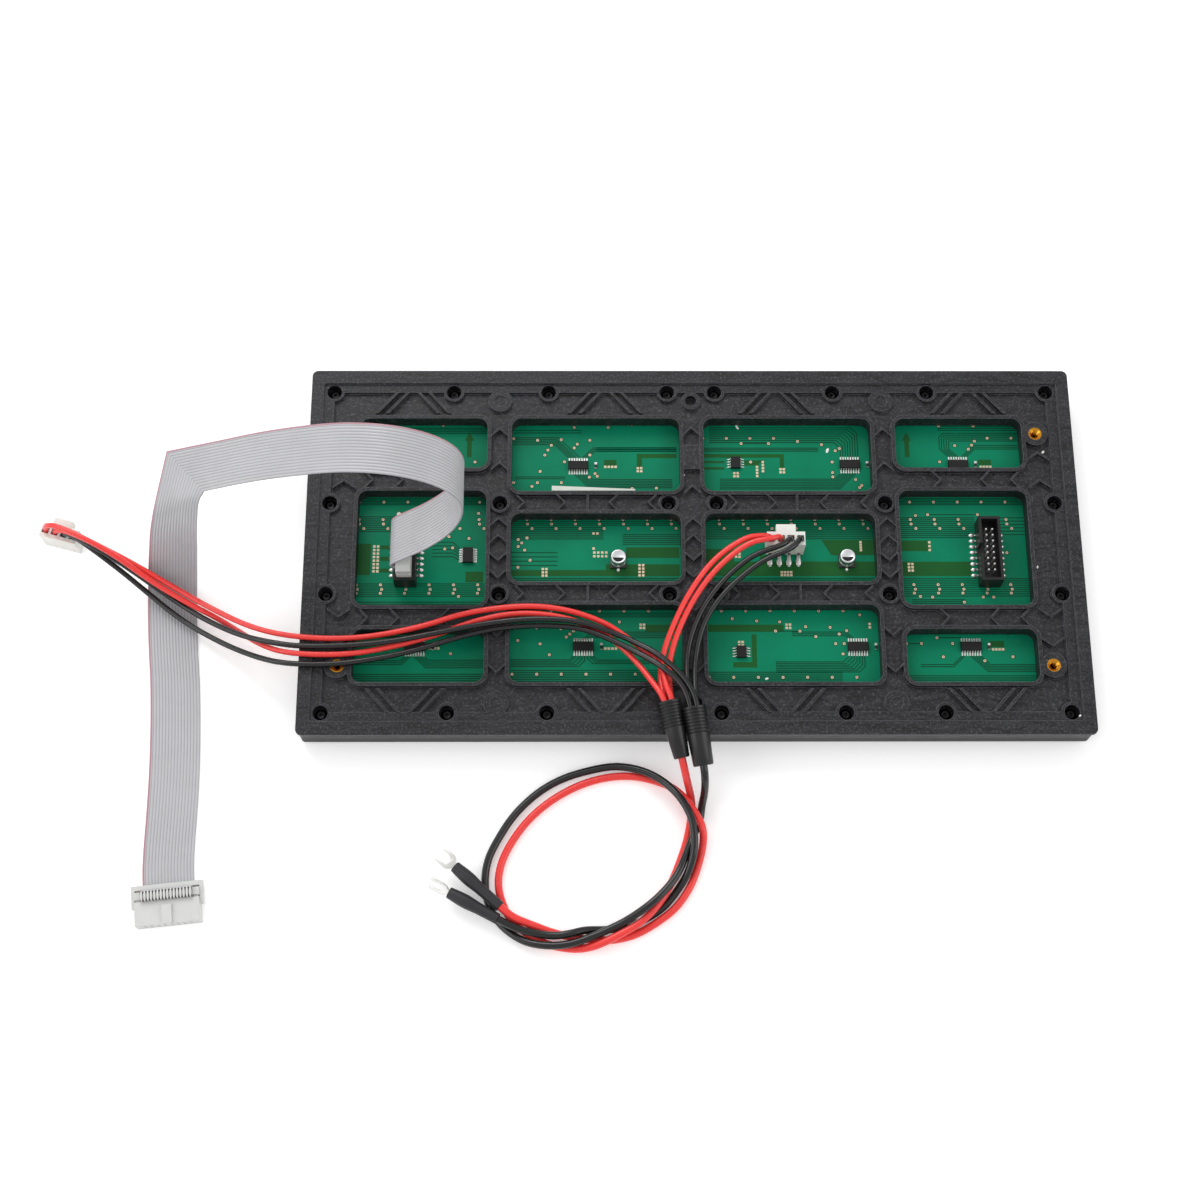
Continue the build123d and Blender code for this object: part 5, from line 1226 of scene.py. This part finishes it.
class MODULE_OT_connector_details(bpy.types.Operator):
    """Press the ribbon on the loose socket's contacts, and lay the power header's flat legs"""

    bl_idname = "module.connector_details"
    bl_label = "Connector details"

    def execute(self, context):
        # X along the ribbon, Z out of the loose socket's upper side
        upper = LOOSE_SOCKET @ Matrix(((0, 0, 1, 0), (0, -1, 0, 0), (1, 0, 0, 0), (0, 0, 0, 1)))
        # black block under the pressed conductors: painted shade in the gaps between them
        shade_under_ridges = block((9.5, -10.1, 3.9), (13.2, 10.1, 4.22))
        piece("conductor_shade_under_ridges", *shade_under_ridges, "header", place=upper)
        ridges = [mound((11.3, (k - 7.5) * 1.27, 4.2), 4.2, 1.1, 0.45) for k in range(16)]
        settled(piece("pressed_conductors", *joined(ridges), "socket", "grey_plastic", place=upper),
                smooth_angle=60)
        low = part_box("power_plug_housing")[0]
        front, bottom = low[1] / MM, low[2] / MM
        legs, slots = [], []
        for x in POWER_PINS:
            middle = POWER_X + x
            legs.append(block((middle - 0.75, -5.5, BOARD_TOP),
                              (middle + 0.75, front + 0.3, BOARD_TOP + 0.9)))
            # dark block on the plug's front over each leg: painted shade of its open slot
            slots.append(block((middle - 0.6, front - 0.04, bottom),
                               (middle + 0.6, front + 0.3, bottom + 2.0)))
        settled(piece("power_legs", *joined(legs), "tin", "contact_metal"), bevel=0.2, smooth_angle=35)
        piece("power_plug_slot_shades", *joined(slots), "header", "header_plastic")
        return {"FINISHED"}


class MODULE_OT_stage(bpy.types.Operator):
    """Pale lit floor and plain soft studio light"""

    bl_idname = "module.stage"
    bl_label = "Stage"

    def execute(self, context):
        stage = context.scene.module_stage
        # opal acrylic lit from beneath: shadows on it stay faint
        material, tree, shader = new_material(
            "cast_opal_acrylic", Roughness=0.9, Emission_Color=(1.0, 1.0, 1.0, 1.0),
            Emission_Strength=stage.glow)
        place = add(tree, "TexCoord")
        tooth = add(tree, "TexNoise", {"Vector": place.outputs["Object"], "Scale": cells_per_metre(3.0)})
        floor_colour = tuple(stage.floor)
        tone = add(tree, "Mix",
                   {0: tooth.outputs[0], 6: floor_colour, 7: tuple(c * 0.99 for c in floor_colour)},
                   data_type="RGBA")
        tree.links.new(tone.outputs[2], shader.inputs["Base Color"])
        mesh = bpy.data.meshes.new("floor")
        mesh.from_pydata([(x, y, 0.0) for x, y in ((-3, -3), (3, -3), (3, 3), (-3, 3))], [], [(0, 1, 2, 3)])
        mesh.materials.append(material)
        floor = bpy.data.objects.new("floor", mesh)
        context.scene.collection.objects.link(floor)
        for name, place_at, size, power in (
            ("back_light", (-0.5, 1.2, 1.1), 1.0, stage.key_power),
            ("left_light", (-1.3, -0.3, 0.9), 1.0, stage.fill_power),
            ("right_light", (1.3, -0.2, 0.9), 1.0, stage.fill_power),
        ):
            lamp = bpy.data.lights.new(name, "AREA")
            lamp.size = size
            lamp.energy = power
            obj = bpy.data.objects.new(name, lamp)
            obj.location = place_at
            obj.rotation_euler = (-Vector(place_at)).to_track_quat("-Z", "Y").to_euler()
            context.scene.collection.objects.link(obj)
        world = bpy.data.worlds.new("studio")
        world.use_nodes = True
        backdrop = world.node_tree.nodes["Background"]
        backdrop.inputs["Color"].default_value = (1.0, 1.0, 1.0, 1.0)
        backdrop.inputs["Strength"].default_value = stage.ambience
        context.scene.world = world
        context.scene.view_settings.view_transform = "Standard"
        return {"FINISHED"}


class MODULE_PT_sidebar(bpy.types.Panel):
    """Sizes, colours and pieces of the module"""

    bl_idname = "MODULE_PT_sidebar"
    bl_label = "LED display module"
    bl_space_type = "VIEW_3D"
    bl_region_type = "UI"
    bl_category = "Module"

    def draw(self, context):
        layout = self.layout
        for group in (context.scene.module_cords, context.scene.module_board, context.scene.module_stage):
            column = layout.column(align=True)
            for key in group.__annotations__:
                column.prop(group, key)
        for operator in OPERATORS:
            layout.operator(operator.bl_idname)


OPERATORS = (
    MODULE_OT_camera,
    MODULE_OT_wires,
    MODULE_OT_ribbon,
    MODULE_OT_finishes,
    MODULE_OT_screws,
    MODULE_OT_inserts,
    MODULE_OT_harness_ends,
    MODULE_OT_chip_legs,
    MODULE_OT_board_print,
    MODULE_OT_board_parts,
    MODULE_OT_connector_details,
    MODULE_OT_stage,
)
CLASSES = (CordSettings, BoardSettings, StageSettings) + OPERATORS + (MODULE_PT_sidebar,)


def register():
    for cls in CLASSES:
        bpy.utils.register_class(cls)
    bpy.types.Scene.module_cords = PointerProperty(type=CordSettings)
    bpy.types.Scene.module_board = PointerProperty(type=BoardSettings)
    bpy.types.Scene.module_stage = PointerProperty(type=StageSettings)


def unregister():
    del bpy.types.Scene.module_stage
    del bpy.types.Scene.module_board
    del bpy.types.Scene.module_cords
    for cls in reversed(CLASSES):
        bpy.utils.unregister_class(cls)


def main():
    register()
    for operator in OPERATORS:
        family, action = operator.bl_idname.split(".")
        getattr(getattr(bpy.ops, family), action)()


if __name__ == "__main__":
    main()
